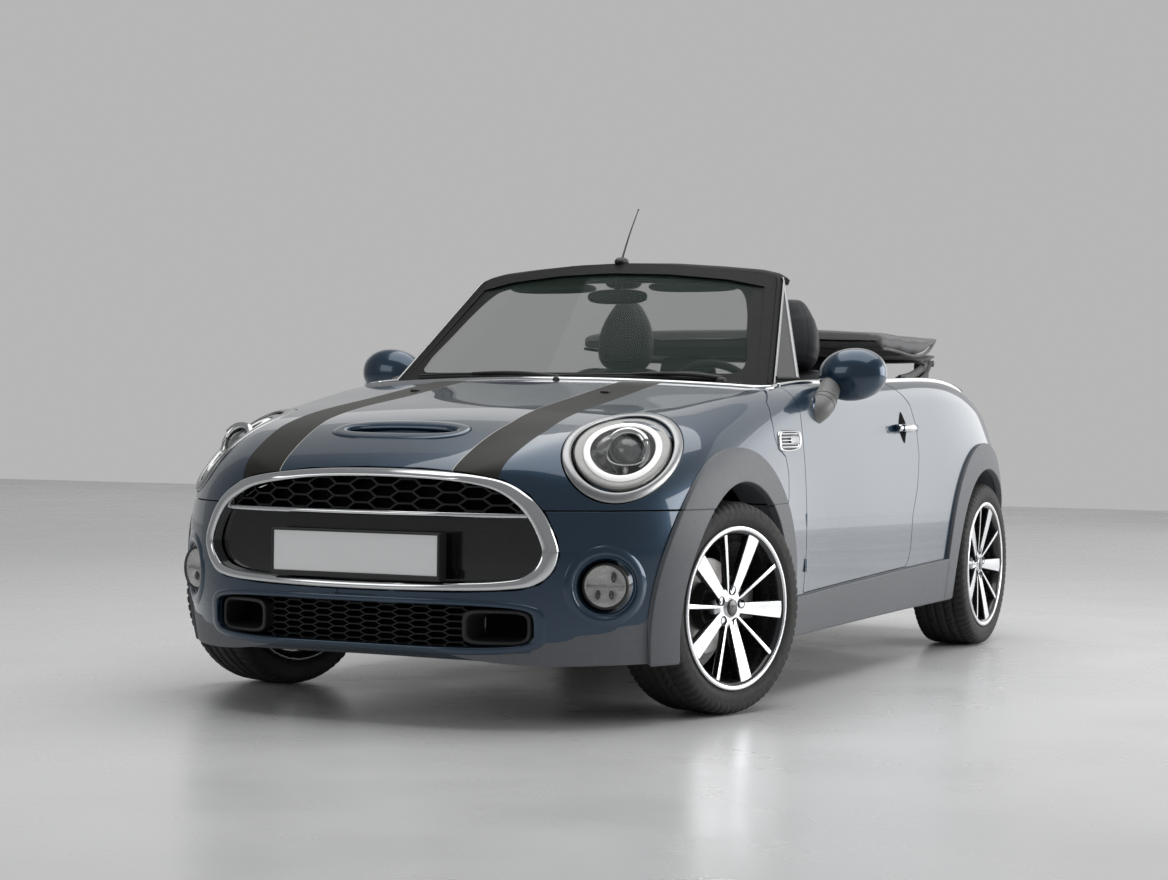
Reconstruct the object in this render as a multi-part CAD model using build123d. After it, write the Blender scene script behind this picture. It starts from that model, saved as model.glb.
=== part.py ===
"""Small two-door convertible, hood folded down, as named pieces in one shared frame.

Millimetres. +Z is up, the nose points to -Y, +X is the car's own left side.
The origin is on the ground under the middle of the car.
"""
import math
import os

from build123d import *

os.makedirs("parts", exist_ok=True)

# ---------------------------------------------------------------- driving sizes
HALF_LENGTH = 1922.0
FRONT_AXLE_Y = -1150.0
REAR_AXLE_Y = 1345.0
HALF_TRACK = 742.5
WHEEL_Z = 308.0
TYRE_R = 308.0
TYRE_WIDTH = 205.0
RIM_R = 216.0
KINGPIN_X = 700.0
STEER_DEG = -15.7
GAP = 5.0
ARCH_R = 365.0
WELL_R = 372.0
CLADDING_R = 460.0
CLADDING = 12.0
SPLIT_Z = 598.0
BONNET_SKIN = 22.0
BUMPER_SKIN = 60.0
DOOR_INNER_X = 715.0
CABIN_X = 705.0
FLOOR_Z = 242.0

# ---------------------------------------------------------------- body sections
# y: station   w: half width   zw: height of the widest point
# xb, zb: bottom corner   lean: how far the side leans in at the top
# zt: top on the centre line   crown: drop of the top arc at full width
# r: shoulder radius
COLUMNS = ("y", "w", "zw", "xb", "zb", "lean", "zt", "crown", "r")
STATIONS = (
    (-1922, 130, 450, 105, 300, 12, 590, 4, 45),
    (-1905, 275, 450, 240, 222, 24, 655, 9, 75),
    (-1865, 445, 455, 410, 186, 44, 712, 18, 120),
    (-1790, 590, 460, 555, 178, 68, 758, 30, 180),
    (-1680, 708, 470, 675, 178, 98, 808, 44, 250),
    (-1540, 792, 480, 760, 178, 120, 852, 54, 285),
    (-1370, 838, 490, 806, 180, 110, 884, 56, 265),
    (-1150, 850, 500, 820, 184, 94, 914, 52, 215),
    (-700, 830, 500, 802, 188, 52, 976, 42, 120),
    (0, 821, 500, 795, 194, 44, 1000, 28, 95),
    (700, 831, 500, 802, 200, 50, 1018, 28, 95),
    (1200, 850, 500, 814, 206, 80, 1020, 32, 125),
    (1450, 848, 500, 808, 212, 110, 1000, 40, 165),
    (1650, 808, 500, 770, 222, 115, 950, 40, 170),
    (1780, 724, 490, 692, 236, 95, 880, 32, 140),
    (1860, 612, 480, 582, 252, 60, 785, 22, 105),
    (1905, 420, 470, 395, 280, 30, 680, 12, 75),
    (1922, 230, 460, 210, 320, 15, 600, 6, 50),
)


def arcs(row, grow):
    """The section's arcs, moved outward by grow."""
    s = dict(zip(COLUMNS, row))
    w, zw, zb, zt, r = s["w"], s["zw"], s["zb"], s["zt"], s["r"]
    rise = zt - zw
    side_r = (s["lean"] ** 2 + rise ** 2) / (2 * s["lean"])
    side_c = (w - side_r, zw)
    crown_r = (w * w + s["crown"] ** 2) / (2 * s["crown"])
    crown_c = (0.0, zt - crown_r)
    low_r = ((w - s["xb"]) ** 2 + (zw - zb) ** 2) / (2 * (w - s["xb"]))
    low_c = (w - low_r, zw)
    dx = crown_c[0] - side_c[0]
    dz = crown_c[1] - side_c[1]
    d = math.hypot(dx, dz)
    a = side_r - r
    b = crown_r - r
    t = (a * a - b * b + d * d) / (2 * d)
    h = math.sqrt(max(a * a - t * t, 0.0))
    ends = [(side_c[0] + (dx * t - dz * h * k) / d, side_c[1] + (dz * t + dx * h * k) / d) for k in (1, -1)]
    c = max(ends, key=lambda q: q[0] + q[1])
    return {"low": (low_c, low_r + grow), "side": (side_c, side_r + grow), "round": (c, r + grow),
            "crown": (crown_c, crown_r + grow), "w": w + grow, "zw": zw, "zb": zb - grow, "zt": zt + grow}


def toward(c, p, radius):
    """The point at radius from c on the line from c towards p."""
    d = math.hypot(p[0] - c[0], p[1] - c[1])
    return (c[0] + (p[0] - c[0]) / d * radius, c[1] + (p[1] - c[1]) / d * radius)


def arc_mid(c, radius, p, q):
    """Middle of the short arc from p to q."""
    return toward(c, ((p[0] + q[0]) / 2, (p[1] + q[1]) / 2), radius)


def section(row, grow, y):
    """Closed wire of one line and seven arcs."""
    s = arcs(row, grow)
    low_c, low_r = s["low"]
    side_c, side_r = s["side"]
    c, r = s["round"]
    crown_c, crown_r = s["crown"]
    foot = (low_c[0] + math.sqrt(low_r ** 2 - (s["zb"] - low_c[1]) ** 2), s["zb"])
    wide = (s["w"], s["zw"])
    up = (side_c[0] + (c[0] - side_c[0]) / math.hypot(c[0] - side_c[0], c[1] - side_c[1]) * side_r,
          side_c[1] + (c[1] - side_c[1]) / math.hypot(c[0] - side_c[0], c[1] - side_c[1]) * side_r)
    over = toward(crown_c, c, crown_r)
    run = [(foot, arc_mid(low_c, low_r, foot, wide), wide), (wide, arc_mid(side_c, side_r, wide, up), up),
           (up, arc_mid(c, r, up, over), over)]
    right = [Edge.make_three_point_arc(*[(p[0], y, p[1]) for p in trio]) for trio in run]
    left = [Edge.make_three_point_arc(*[(-p[0], y, p[1]) for p in reversed(trio)]) for trio in reversed(run)]
    crown = Edge.make_three_point_arc((over[0], y, over[1]), (0, y, s["zt"]), (-over[0], y, over[1]))
    base = Edge.make_line((-foot[0], y, foot[1]), (foot[0], y, foot[1]))
    return Wire([base] + right + [crown] + left)


def body(grow=0.0):
    """The whole body as one solid, grown or shrunk all round."""
    k = (HALF_LENGTH + grow) / HALF_LENGTH
    rows = [row for row in STATIONS if row[8] + grow > 8]
    return Solid.make_loft([section(row, grow, row[0] * k) for row in rows], False)


# ---------------------------------------------------------------- shape helpers
def block(x0, x1, y0, y1, z0, z1):
    return Pos((x0 + x1) / 2, (y0 + y1) / 2, (z0 + z1) / 2) * Box(x1 - x0, y1 - y0, z1 - z0)


def side_prism(points, x0, x1):
    """Prism along X over a closed outline of (y, z)."""
    face = Face(Wire.make_polygon([(x0, y, z) for y, z in points], close=True))
    return Solid.extrude(face, Vector(x1 - x0, 0, 0))


def nose_prism(points, y0, y1):
    """Prism along Y over a closed outline of (x, z)."""
    face = Face(Wire.make_polygon([(x, y0, z) for x, z in points], close=True))
    return Solid.extrude(face, Vector(0, y1 - y0, 0))


def plan_prism(points, z0, z1):
    """Prism along Z over a closed outline of (x, y)."""
    face = Face(Wire.make_polygon([(x, y, z0) for x, y in points], close=True))
    return Solid.extrude(face, Vector(0, 0, z1 - z0))


def offset_outline(points, d):
    """Closed outline moved outward by d, whichever way it runs."""
    area = sum(points[i - 1][0] * points[i][1] - points[i][0] * points[i - 1][1] for i in range(len(points)))
    turn = 1 if area > 0 else -1
    out = []
    n = len(points)
    for i in range(n):
        p, q, s = points[i - 1], points[i], points[(i + 1) % n]
        a = (q[0] - p[0], q[1] - p[1])
        b = (s[0] - q[0], s[1] - q[1])
        la, lb = math.hypot(*a), math.hypot(*b)
        na = (turn * a[1] / la, -turn * a[0] / la)
        nb = (turn * b[1] / lb, -turn * b[0] / lb)
        k = d / (1 + na[0] * nb[0] + na[1] * nb[1])
        out.append((q[0] + (na[0] + nb[0]) * k, q[1] + (na[1] + nb[1]) * k))
    return out


def tube_x(y, z, radius, x0, x1):
    return Pos((x0 + x1) / 2, y, z) * Rot(0, 90, 0) * Cylinder(radius, abs(x1 - x0))


def rod(p, q, radius):
    """Round bar from p to q."""
    axis = Vector(*q) - Vector(*p)
    return Plane(origin=p, z_dir=axis) * Cylinder(radius, axis.length, align=(Align.CENTER, Align.CENTER, Align.MIN))


def both(shape):
    """A shape and its twin on the other side of the car."""
    return [shape, mirror(shape, about=Plane.YZ)]


def oval(cx, cz, a, b, n, power=2.0, lift=0.0):
    """Closed rounded outline about (cx, cz)."""
    out = []
    for i in range(n):
        t = 2 * math.pi * (i + 0.5) / n
        c, s = math.cos(t), math.sin(t)
        out.append((cx + a * math.copysign(abs(c) ** (2 / power), c),
                    cz + b * math.copysign(abs(s) ** (2 / power), s) + lift * math.cos(t) ** 2))
    return out


def solids_of(*shapes):
    out = []
    for shape in shapes:
        if isinstance(shape, (list, tuple)):
            out += solids_of(*shape)
        else:
            out += list(shape.solids())
    return [s for s in out if s.volume > 50]


PIECES = {}


def keep(name, *shapes):
    """Write one node's STEP file."""
    parts = solids_of(*shapes)
    PIECES[name] = Compound(children=[Solid(s.wrapped) for s in parts], label=name) if len(parts) > 1 else parts[0]
    PIECES[name].label = name
    export_step(PIECES[name], f"parts/{name}.step")


# ---------------------------------------------------------------- shared solids
SHEET = 4.0
OUTER = body(-SHEET)
UNDER_BONNET = body(-BONNET_SKIN)
COVER = body(CLADDING - SHEET)


def both_tubes(axle_y, radius, x0, x1=900):
    return tube_x(axle_y, WHEEL_Z, radius, x0, x1) + tube_x(axle_y, WHEEL_Z, radius, -x1, -x0)


NOSE_HALF_WIDTH, NOSE_DEPTH, NOSE_POWER = 863.5, 775.0, 2.5
NOSE_X = (0, 160, 320, 430, 520, 600, 670, 730, 780)


def nose_plan(inset, z0=100, z1=800):
    """Upright prism behind the nose's plan curve, in by inset; its faces are flat."""
    half = NOSE_HALF_WIDTH - inset
    deep = NOSE_DEPTH - inset
    line = [(x, FRONT_AXLE_Y - deep * (1 - (x / half) ** NOSE_POWER) ** (1 / NOSE_POWER)) for x in NOSE_X if x < half]
    line = [(-x, y) for x, y in reversed(line[1:])] + line
    return plan_prism([(line[0][0], -1200)] + line + [(line[-1][0], -1200)], z0, z1)


# ---------------------------------------------------------------- grille
GRILLE_OUTER = (
    (-567, 480), (-547, 542), (-506, 600), (-445, 644), (-362, 676), (-180, 699), (0, 706), (180, 704),
    (318, 695), (422, 677), (488, 640), (532, 588), (560, 522), (567, 480), (554, 434), (522, 402),
    (470, 386), (320, 377), (0, 373), (-320, 378), (-470, 389), (-530, 416))
GRILLE_INNER = (
    (-527, 482), (-506, 538), (-466, 588), (-410, 622), (-335, 650), (-170, 674), (0, 681), (170, 679),
    (302, 671), (397, 652), (456, 617), (494, 572), (520, 516), (526, 482), (514, 448), (488, 424),
    (450, 411), (320, 401), (0, 396), (-320, 401), (-456, 414), (-504, 440))
BAR_Z = (576, 590)
PLATE_HALF_WIDTH = 260.0
PLATE_Z = (417.0, 527.0)
INSERT_INSET = 34.0
grille_cut = nose_prism(GRILLE_OUTER, -2100, -1500)
grille_gap = nose_prism(offset_outline(list(GRILLE_OUTER), GAP), -2100, -1500)
grille_hole = nose_prism(GRILLE_INNER, -2100, -1500)
RING_FRONT = body(10)
insert_front = nose_plan(INSERT_INSET)
ring = ((RING_FRONT & grille_cut) - grille_hole) - nose_plan(75)
bar = ((nose_plan(14) - nose_plan(30)) & grille_hole) & block(-600, 600, -2000, -1500, *BAR_Z)
keep("grille_frame", ring + bar)
holder = block(-PLATE_HALF_WIDTH - 8, PLATE_HALF_WIDTH + 8, -1918, -1800, PLATE_Z[0] - 8, PLATE_Z[1] + 8)
insert = (insert_front - nose_plan(INSERT_INSET + 12)) & grille_hole
keep("grille_insert", insert + (holder - insert_front))

# ---------------------------------------------------------------- front bumper
INTAKE = oval(0, 282, 507, 56, 28, 6.0)
FOG_C = Vector(667, -1722, 394)
FOG_R, BOWL_R = 57.0, 76.0
FOG_OUT_DEG = 22.0
front_zone = block(-900, 900, -2100, -1386, 100, SPLIT_Z - GAP / 2)
intake_cut = nose_prism(INTAKE, -2100, -1500)
front_well = both_tubes(FRONT_AXLE_Y, WELL_R, 445)
front_flare = both_tubes(FRONT_AXLE_Y, CLADDING_R, 745) - both_tubes(FRONT_AXLE_Y, ARCH_R, 740)
rear_flare = both_tubes(REAR_AXLE_Y, CLADDING_R, 720) - both_tubes(REAR_AXLE_Y, ARCH_R, 715)


def fog_bar(side, radius, front, back):
    """Round bar along one fog lamp's line of sight, from front to back of its face."""
    out = math.radians(FOG_OUT_DEG)
    way = Vector(side * math.sin(out), -math.cos(out), 0)
    centre = Vector(side * FOG_C.X, FOG_C.Y, FOG_C.Z)
    return rod(tuple(centre + way * front), tuple(centre - way * back), radius)


bumper = (OUTER & front_zone) - grille_cut - intake_cut - nose_plan(70)
bumper = bumper - front_well - front_flare
bumper = bumper - [fog_bar(s, BOWL_R, 200, 200) for s in (1, -1)]
keep("front_bumper", bumper)
keep("fog_lamps", [fog_bar(s, FOG_R, 6, 70) + fog_bar(s, BOWL_R, -58, 72) for s in (1, -1)])
intake_plate = (nose_plan(40) - nose_plan(54)) & intake_cut
duct_out = nose_prism(oval(405, 280, 92, 50, 20, 5.0), -2100, -1500)
duct_in = nose_prism(oval(405, 280, 80, 39, 20, 5.0), -2100, -1500)
ducts = [((nose_plan(16) - nose_plan(40)) & d) & intake_cut for d in both(duct_out - duct_in)]
keep("lower_grille", intake_plate + ducts)
front_plate = block(-PLATE_HALF_WIDTH, PLATE_HALF_WIDTH, -1924, -1918, *PLATE_Z)

# ---------------------------------------------------------------- bonnet
BONNET_BACK_Y = -690.0
BONNET_BACK_MID_Y = -765.0
BONNET_LOW_Z = SPLIT_Z + GAP / 2
BONNET_SIDE = ((-2100, BONNET_LOW_Z), (-2100, 1200), (BONNET_BACK_Y, 1200), (BONNET_BACK_Y, 946),
               (-785, 904), (-828, 850), (-836, 802), (-815, 762), (-758, 738), (-742, 690),
               (-756, BONNET_LOW_Z))
LAMP_C = Vector(635, -1556, 745)
LAMP_OUT_DEG = 14.0
LAMP_BACK_DEG = 25.0
RING_A, RING_B = 170.0, 142.0
HOLE_A, HOLE_B = 146.0, 119.0
LENS_A, LENS_B = 136.0, 109.0


def lamp_plane(side):
    """Plane whose normal looks out of the headlamp and whose x axis is level."""
    out = math.radians(LAMP_OUT_DEG)
    back = math.radians(LAMP_BACK_DEG)
    normal = Vector(side * math.sin(out) * math.cos(back), -math.cos(out) * math.cos(back), math.sin(back))
    level = Vector(math.cos(out), side * math.sin(out), 0)
    return Plane(origin=(side * LAMP_C.X, LAMP_C.Y, LAMP_C.Z), x_dir=level, z_dir=normal)


def lamp_tube(side, a, b, back=150):
    """Elliptic tube along the headlamp's own line of sight."""
    start = lamp_plane(side).offset(-back)
    face = start * Ellipse(a, b)
    return extrude(face, amount=back + 250, dir=start.z_dir)


def back_curve(mid, end, half=760.0, n=12):
    """Curved line across the car as points, mid at the centre and end at half."""
    out = []
    for i in range(n + 1):
        x = -half + 2 * half * i / n
        out.append((x, mid + (end - mid) * (x / half) ** 2))
    return out


def ahead_of(mid, end):
    """Upright prism ahead of the bonnet's curved back edge."""
    return plan_prism([(-900, -2100), (-900, end)] + back_curve(mid, end) + [(900, end), (900, -2100)], 0, 1200)


bonnet = (OUTER - UNDER_BONNET) & side_prism(BONNET_SIDE, -900, 900) & ahead_of(BONNET_BACK_MID_Y, BONNET_BACK_Y)
bonnet = bonnet - grille_gap - front_well - front_flare
for side in (1, -1):
    bonnet = bonnet - lamp_tube(side, RING_A, RING_B)
SCOOP_Y, SCOOP_Z = -1672.0, 808.0
SLOT_A, SLOT_B = 170.0, 24.0
scoop_plane = Plane(origin=(0, SCOOP_Y, SCOOP_Z), x_dir=(1, 0, 0), z_dir=(0, -0.42, 0.91))
slot = extrude(scoop_plane.offset(-60) * Ellipse(SLOT_A, SLOT_B), amount=160, dir=scoop_plane.z_dir)
keep("bonnet", bonnet - slot)
lamp_zone = block(-900, 900, -2100, -1000, 560, 1000)
RING_BACK = body(-16)
keep("headlamp_rings", [(((RING_FRONT & lamp_tube(s, RING_A, RING_B)) - lamp_tube(s, HOLE_A, HOLE_B)) & lamp_zone)
                        - RING_BACK for s in (1, -1)])
LAMP_FRONT = body(-24)
inner_zone = block(-738, 738, -2100, -1000, 560, 1000)
lamps = []
for side in (1, -1):
    base = LAMP_FRONT & lamp_tube(side, LENS_A, LENS_B, 95) & inner_zone
    dome = OUTER & lamp_tube(side, LENS_A - 18, LENS_B - 18, 60) & inner_zone
    x0, x1 = (520, 600) if side > 0 else (-600, -520)
    lamps.append(base + dome + block(x0, x1, -1560, -1470, 612, 700))
keep("headlamps", lamps)

# ---------------------------------------------------------------- outer cladding
SILL_IN_X = 792.0
DOOR_LOW_FRONT = (-580.0, 314.0)
DOOR_LOW_REAR = (440.0, 344.0)
DOOR_PIN_X, DOOR_PIN_Y, DOOR_PIN_R = 824.5, -582.5, 2.2
DOOR_PIN_Z = (380.0, 520.0)
SILL = ((-800, 150), (-800, 298), (-580, 303), (440, 333), (1000, 348), (1000, 150))
sill_prism = side_prism(SILL, SILL_IN_X, 900) + side_prism(SILL, -900, -SILL_IN_X)
arches = both_tubes(FRONT_AXLE_Y, ARCH_R, 600) + both_tubes(REAR_AXLE_Y, ARCH_R, 600)
trim_zone = block(-900, 900, -1620, -690, BONNET_LOW_Z, 900) & side_prism(BONNET_SIDE, -900, 900)
keep("bonnet_arch_trims", COVER & front_flare & trim_zone)
low_zone = block(-900, 900, -1700, -600, 150, SPLIT_Z - GAP / 2)
rear_clad = COVER & rear_flare
sills = (COVER & sill_prism) - arches
cladding = (COVER & front_flare & low_zone) + rear_clad + sills
keep("lower_cladding", cladding)

# ---------------------------------------------------------------- doors
DOOR = (DOOR_LOW_FRONT, (-580, 1100), (398, 1100), (398, 985), (440, 962), (530, 905), (572, 830),
        (578, 730), (545, 620), (490, 520), (478, 420), (470, 375), DOOR_LOW_REAR)
MIRROR_C = (856.0, -246.0, 1004.0)
MIRROR_ROWS = ((-75, 14, 10), (-72, 31, 23), (-62, 62, 47), (-42, 91, 69), (-18, 107, 81), (4, 110, 83),
               (28, 102, 77), (52, 79, 60))
MIRROR_SEAT_Z = 956.0
for side, name in ((1, "left"), (-1, "right")):
    x0, x1 = (DOOR_INNER_X, 900) if side > 0 else (-900, -DOOR_INNER_X)
    slab = OUTER & side_prism(DOOR, x0, x1)
    armrest = block(DOOR_INNER_X - 45, DOOR_INNER_X + 5, -120, 380, 590, 640)
    grip = block(800, 838, 350, 500, 815, 839)
    seat = block(720, 760, -335, -265, MIRROR_SEAT_Z, 1100)
    bits = [armrest, grip] if side > 0 else [mirror(armrest, about=Plane.YZ), mirror(grip, about=Plane.YZ)]
    seat = seat if side > 0 else mirror(seat, about=Plane.YZ)
    keep(f"door_{name}", (slab + bits) - seat)
    rings = [Plane(origin=(side * MIRROR_C[0], MIRROR_C[1] + dy, MIRROR_C[2]), x_dir=(1, 0, 0), z_dir=(0, 1, 0))
             * Ellipse(a, b) for dy, a, b in MIRROR_ROWS]
    housing = Solid.make_loft([ring.wires()[0] for ring in rings], False)
    foot = block(722, 758, -333, -267, MIRROR_SEAT_Z, 985)
    arm = rod((740, -300, 973), (830, -255, 985), 16) + (rod((800, -296, 920), (836, -258, 985), 24) - OUTER)
    bits = [foot] + list(arm.solids())
    bits = bits if side > 0 else [mirror(b, about=Plane.YZ) for b in bits]
    keep(f"mirror_{name}", housing + bits)

# ---------------------------------------------------------------- boot lid, rear bumper, tail lamps
LID_X, LID_LOW, LID_AHEAD_Y = 485.0, 492.0, 1712.0
LID_OUTLINE = ((-455, LID_LOW), (-LID_X, LID_LOW + 40), (-LID_X, 1100), (LID_X, 1100), (LID_X, LID_LOW + 40),
               (455, LID_LOW))
LID_INNER = ((LID_AHEAD_Y, 858), (1790, 800), (1832, 690), (1846, LID_LOW), (2100, LID_LOW), (2100, 1100),
             (LID_AHEAD_Y, 1100))
REAR_SPLIT_Z = LID_LOW - 10
lid_zone = nose_prism(LID_OUTLINE, LID_AHEAD_Y, 2100) & side_prism(LID_INNER, -600, 600)
lid_gap = nose_prism(offset_outline(list(LID_OUTLINE), GAP), LID_AHEAD_Y - GAP, 2100)
lid_gap = lid_gap & side_prism(offset_outline(list(LID_INNER), GAP), -600, 600)
keep("boot_lid", OUTER & lid_zone)
rear_zone = block(-900, 900, 1640, 2100, 100, REAR_SPLIT_Z)
rear_well = both_tubes(REAR_AXLE_Y, WELL_R, 600)
hollow = plan_prism(((-640, 1600), (-640, 1700), (-520, 1800), (-350, 1845), (350, 1845), (520, 1800), (640, 1700),
                     (640, 1600)), 100, 440)
plate_back = block(-PLATE_HALF_WIDTH, PLATE_HALF_WIDTH, 1860, 1926, 348, 458)
rear_bumper = (OUTER & rear_zone) + plate_back
LID_PIN_Y, LID_PIN_Z, LID_PIN_R = 1917.0, 486.7, 5.0
lid_pins = [tube_x(LID_PIN_Y, LID_PIN_Z, LID_PIN_R, x, x + 60) for x in (-130, 70)]
tip_holes = [rod((s * 52, 1500, 232), (s * 52, 2000, 232), 42) for s in (1, -1)]
keep("rear_bumper", (rear_bumper - hollow - rear_well - rear_flare - tip_holes) + lid_pins)
rear_plate = block(-PLATE_HALF_WIDTH + 4, PLATE_HALF_WIDTH - 4, 1926, 1932, 350, 456)
keep("number_plates", front_plate, rear_plate)
TAIL = oval(648, 722, 66, 112, 20, 3.0)
TAIL_BACK_Y = 1650.0
tail_cut = [nose_prism(TAIL, TAIL_BACK_Y, 2100), mirror(nose_prism(TAIL, TAIL_BACK_Y, 2100), about=Plane.YZ)]
keep("tail_lamps", [OUTER & t for t in tail_cut])

# ---------------------------------------------------------------- body shell
CLEAR = [(-2100, 0), (-2100, 1200), (BONNET_BACK_Y + GAP, 1200), (BONNET_BACK_Y + GAP, 943), (-783, 899),
         (-823, 848), (-831, 802), (-811, 767), (-754, 743), (-737, 690), (-751, 600), (-770, 560), (-770, 0)]
COWL_Z = 958.0
DASH_FRONT_Y = -700.0
shell = OUTER - (side_prism(CLEAR, -900, 900) & ahead_of(BONNET_BACK_MID_Y + GAP, BONNET_BACK_Y + GAP))
shell = shell - block(-900, 900, -2000, -778, 0, 1200)
shell = shell - block(-620, 620, DASH_FRONT_Y, -600, 262, 905)
shell = shell - block(-628, 628, -630, -490, FLOOR_Z, 1100)
shell = shell - block(-CABIN_X, -140, -495, 560, FLOOR_Z, 1100) - block(140, CABIN_X, -495, 560, FLOOR_Z, 1100)
shell = shell - block(-CABIN_X, CABIN_X, -495, 560, 330, 1100)
shell = shell - block(-680, 680, 555, 730, FLOOR_Z, 1100)
shell = shell - block(-575, 575, 725, 1120, 345, 1100)
shell = shell - block(-672, 672, 725, 1500, 700, 1100)
shell = shell - block(-480, 480, 1180, 1600, 420, 880)
shell = shell - block(-480, 480, 1590, 1800, 500, 858)
shell = shell - block(-605, 605, 1160, 1530, 100, 400)
shell = shell - block(-100, 100, -800, 2000, 100, 290)
shell = shell - block(-900, 900, 1530, 2000, 100, 300) - rear_zone
shell = shell - block(-720, 720, -800, -470, COWL_Z, 1100)
for side in (1, -1):
    x0, x1 = (CABIN_X - 2, 900) if side > 0 else (-900, -CABIN_X + 2)
    shell = shell - side_prism(offset_outline(list(DOOR), GAP), x0, x1)
shell = shell - front_well - rear_well - front_flare - rear_flare - sill_prism - lid_gap
shell = shell - tail_cut
shell = shell - block(-140, 140, 1900, 1940, 478, 500)
keep_solids = [s for s in shell.solids() if s.volume > 2e6]
print("shell solids", [round(s.volume / 1e6, 2) for s in shell.solids()])
rails = [block(395, 440, -1745, DASH_FRONT_Y, 400, 480), block(395, 440, -1300, -1000, 470, 800),
         block(438, 625, -1250, -1050, 668, 800), block(395, 440, -800, DASH_FRONT_Y, 400, 905),
         block(395, 620, -1070, -700, 760, 800), block(400, 440, -1560, -1480, 470, 638),
         block(438, 520, -1560, -1480, 600, 638)]
pins = [Pos(DOOR_PIN_X, DOOR_PIN_Y, z + 20) * Cylinder(DOOR_PIN_R, 40) for z in DOOR_PIN_Z]
webs = [block(DOOR_PIN_X - 14, DOOR_PIN_X + 1, -594, DOOR_PIN_Y - 1, z, z + 40) for z in DOOR_PIN_Z]
pads = [block(695, 738, -700, -640, 170, 215), block(695, 738, 832, 888, 170, 225)]
beam = nose_plan(75) & block(-560, 560, -1900, -1740, 405, 475)
shell = keep_solids[0] if len(keep_solids) == 1 else Compound(children=keep_solids)
shell = shell + [r for piece in rails + pads + pins + webs for r in both(piece)]
shell = shell + beam
keep("body_shell", shell)

# ---------------------------------------------------------------- windscreen
BASE_Y, BASE_MID_Y, BASE_Z = -546.0, -742.0, 940.0
TOP_Y, TOP_MID_Y = -128.0, -205.0
TOP_X, TOP_Z, TOP_MID_Z = 560.0, 1322.0, 1374.0
BASE_X = 688.0


SCREEN_HIGH_Z = 1400.0
SCREEN_OUTLINE = ((-690, 930), (-682, 956), (-566, 1304), (-552, 1324), (-500, 1334), (-350, 1352), (-180, 1368),
                  (0, 1374), (180, 1368), (350, 1352), (500, 1334), (552, 1324), (566, 1304), (682, 956), (690, 930))


def screen(thick, inset=0.0):
    """Curved slab from the scuttle to above the header, before its outline is cut."""
    k = (SCREEN_HIGH_Z - BASE_Z) / (TOP_Z - BASE_Z)
    k_mid = (SCREEN_HIGH_Z - BASE_Z) / (TOP_MID_Z - BASE_Z)
    high = (BASE_X + (TOP_X - BASE_X) * k, BASE_Y + (TOP_Y - BASE_Y) * k,
            BASE_MID_Y + (TOP_MID_Y - BASE_MID_Y) * k_mid, SCREEN_HIGH_Z)
    wires = []
    for x, y, mid_y, z in ((BASE_X, BASE_Y, BASE_MID_Y, BASE_Z), high):
        near = y + inset
        far = near + thick
        f = Edge.make_three_point_arc((-x, near, z), (0, mid_y + inset, z), (x, near, z))
        e = Edge.make_line((x, near, z), (x, far, z))
        b = Edge.make_three_point_arc((x, far, z), (0, mid_y + inset + thick, z), (-x, far, z))
        g = Edge.make_line((-x, far, z), (-x, near, z))
        wires.append(Wire([f, e, b, g]))
    return Solid.make_loft(wires, True)


SCREEN_HOLE = ((-628, 950), (-632, 985), (-522, 1290), (-400, 1314), (-200, 1332), (0, 1338), (200, 1332),
               (400, 1314), (522, 1290), (632, 985), (628, 950))
hole = nose_prism(SCREEN_HOLE, -1000, 200)
above = block(-900, 900, -900, 200, COWL_Z, 1500)
frame = ((screen(38) & nose_prism(SCREEN_OUTLINE, -1000, 200)) - hole) & above
keep("windscreen_frame", frame)
keep("windscreen_glass", (screen(6, 12) & hole) & above)
aerial = (Pos(0, -186, TOP_MID_Z + 6) * Cylinder(15, 12)) + rod((0, -184, 1382), (0, -50, 1570), 3)
keep("aerial", aerial)
wiper_l = rod((130, -735, 985), (560, -655, 985), 7) + rod((130, -735, COWL_Z), (130, -735, 990), 10)
wiper_r = rod((-430, -690, 985), (60, -742, 985), 7) + rod((-430, -690, COWL_Z), (-430, -690, 990), 10)
keep("wipers", [wiper_l, wiper_r])

# ---------------------------------------------------------------- dashboard and console
DASH = ((DASH_FRONT_Y, 640), (DASH_FRONT_Y, 900), (-630, 900), (-630, 948), (-520, 956), (-430, 930), (-400, 880),
        (-420, 800), (-430, 690), (-500, 640))
dash = side_prism(DASH, -615, 615)
COLUMN_TOP = Vector(360, -190, 872)
COLUMN_DIR = Vector(0, -0.906, -0.423)
shroud_top = COLUMN_TOP + COLUMN_DIR * 56.4
shroud_end = COLUMN_TOP + COLUMN_DIR * 330
dash = dash + rod(tuple(shroud_top), tuple(shroud_end), 38)
dash = dash + (Pos(0, -415, 800) * Rot(90, 0, 0) * Cylinder(115, 60))
cowl = Pos(360, -440, 950) * scale(Sphere(50), by=(2.6, 1.4, 1.1))
keep("dashboard", dash + cowl)
CONSOLE = ((-560, 330), (-560, 640), (-430, 650), (-300, 560), (60, 540), (330, 560), (430, 540), (450, 330))
console = side_prism(CONSOLE, -95, 95) + (Pos(0, -150, 600) * Cylinder(16, 110))
keep("centre_console", console + (Pos(0, -150, 660) * Sphere(26)) - dash)

# ---------------------------------------------------------------- steering wheel
wheel_plane = Plane(origin=tuple(COLUMN_TOP), x_dir=(1, 0, 0), z_dir=tuple(COLUMN_DIR * -1))
rim_ring = Torus(178, 15)
hub = Pos(0, 0, -18) * Cylinder(58, 46)
arms = [Rot(0, 0, a) * (Pos(110, 0, -10) * Box(120, 34, 14)) for a in (0, 180, 270)]
stub = Pos(0, 0, -46) * Cylinder(24, 20)
keep("steering_wheel", wheel_plane * (rim_ring + hub + stub + arms))

# ---------------------------------------------------------------- seats
SEAT_X = 360.0


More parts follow.
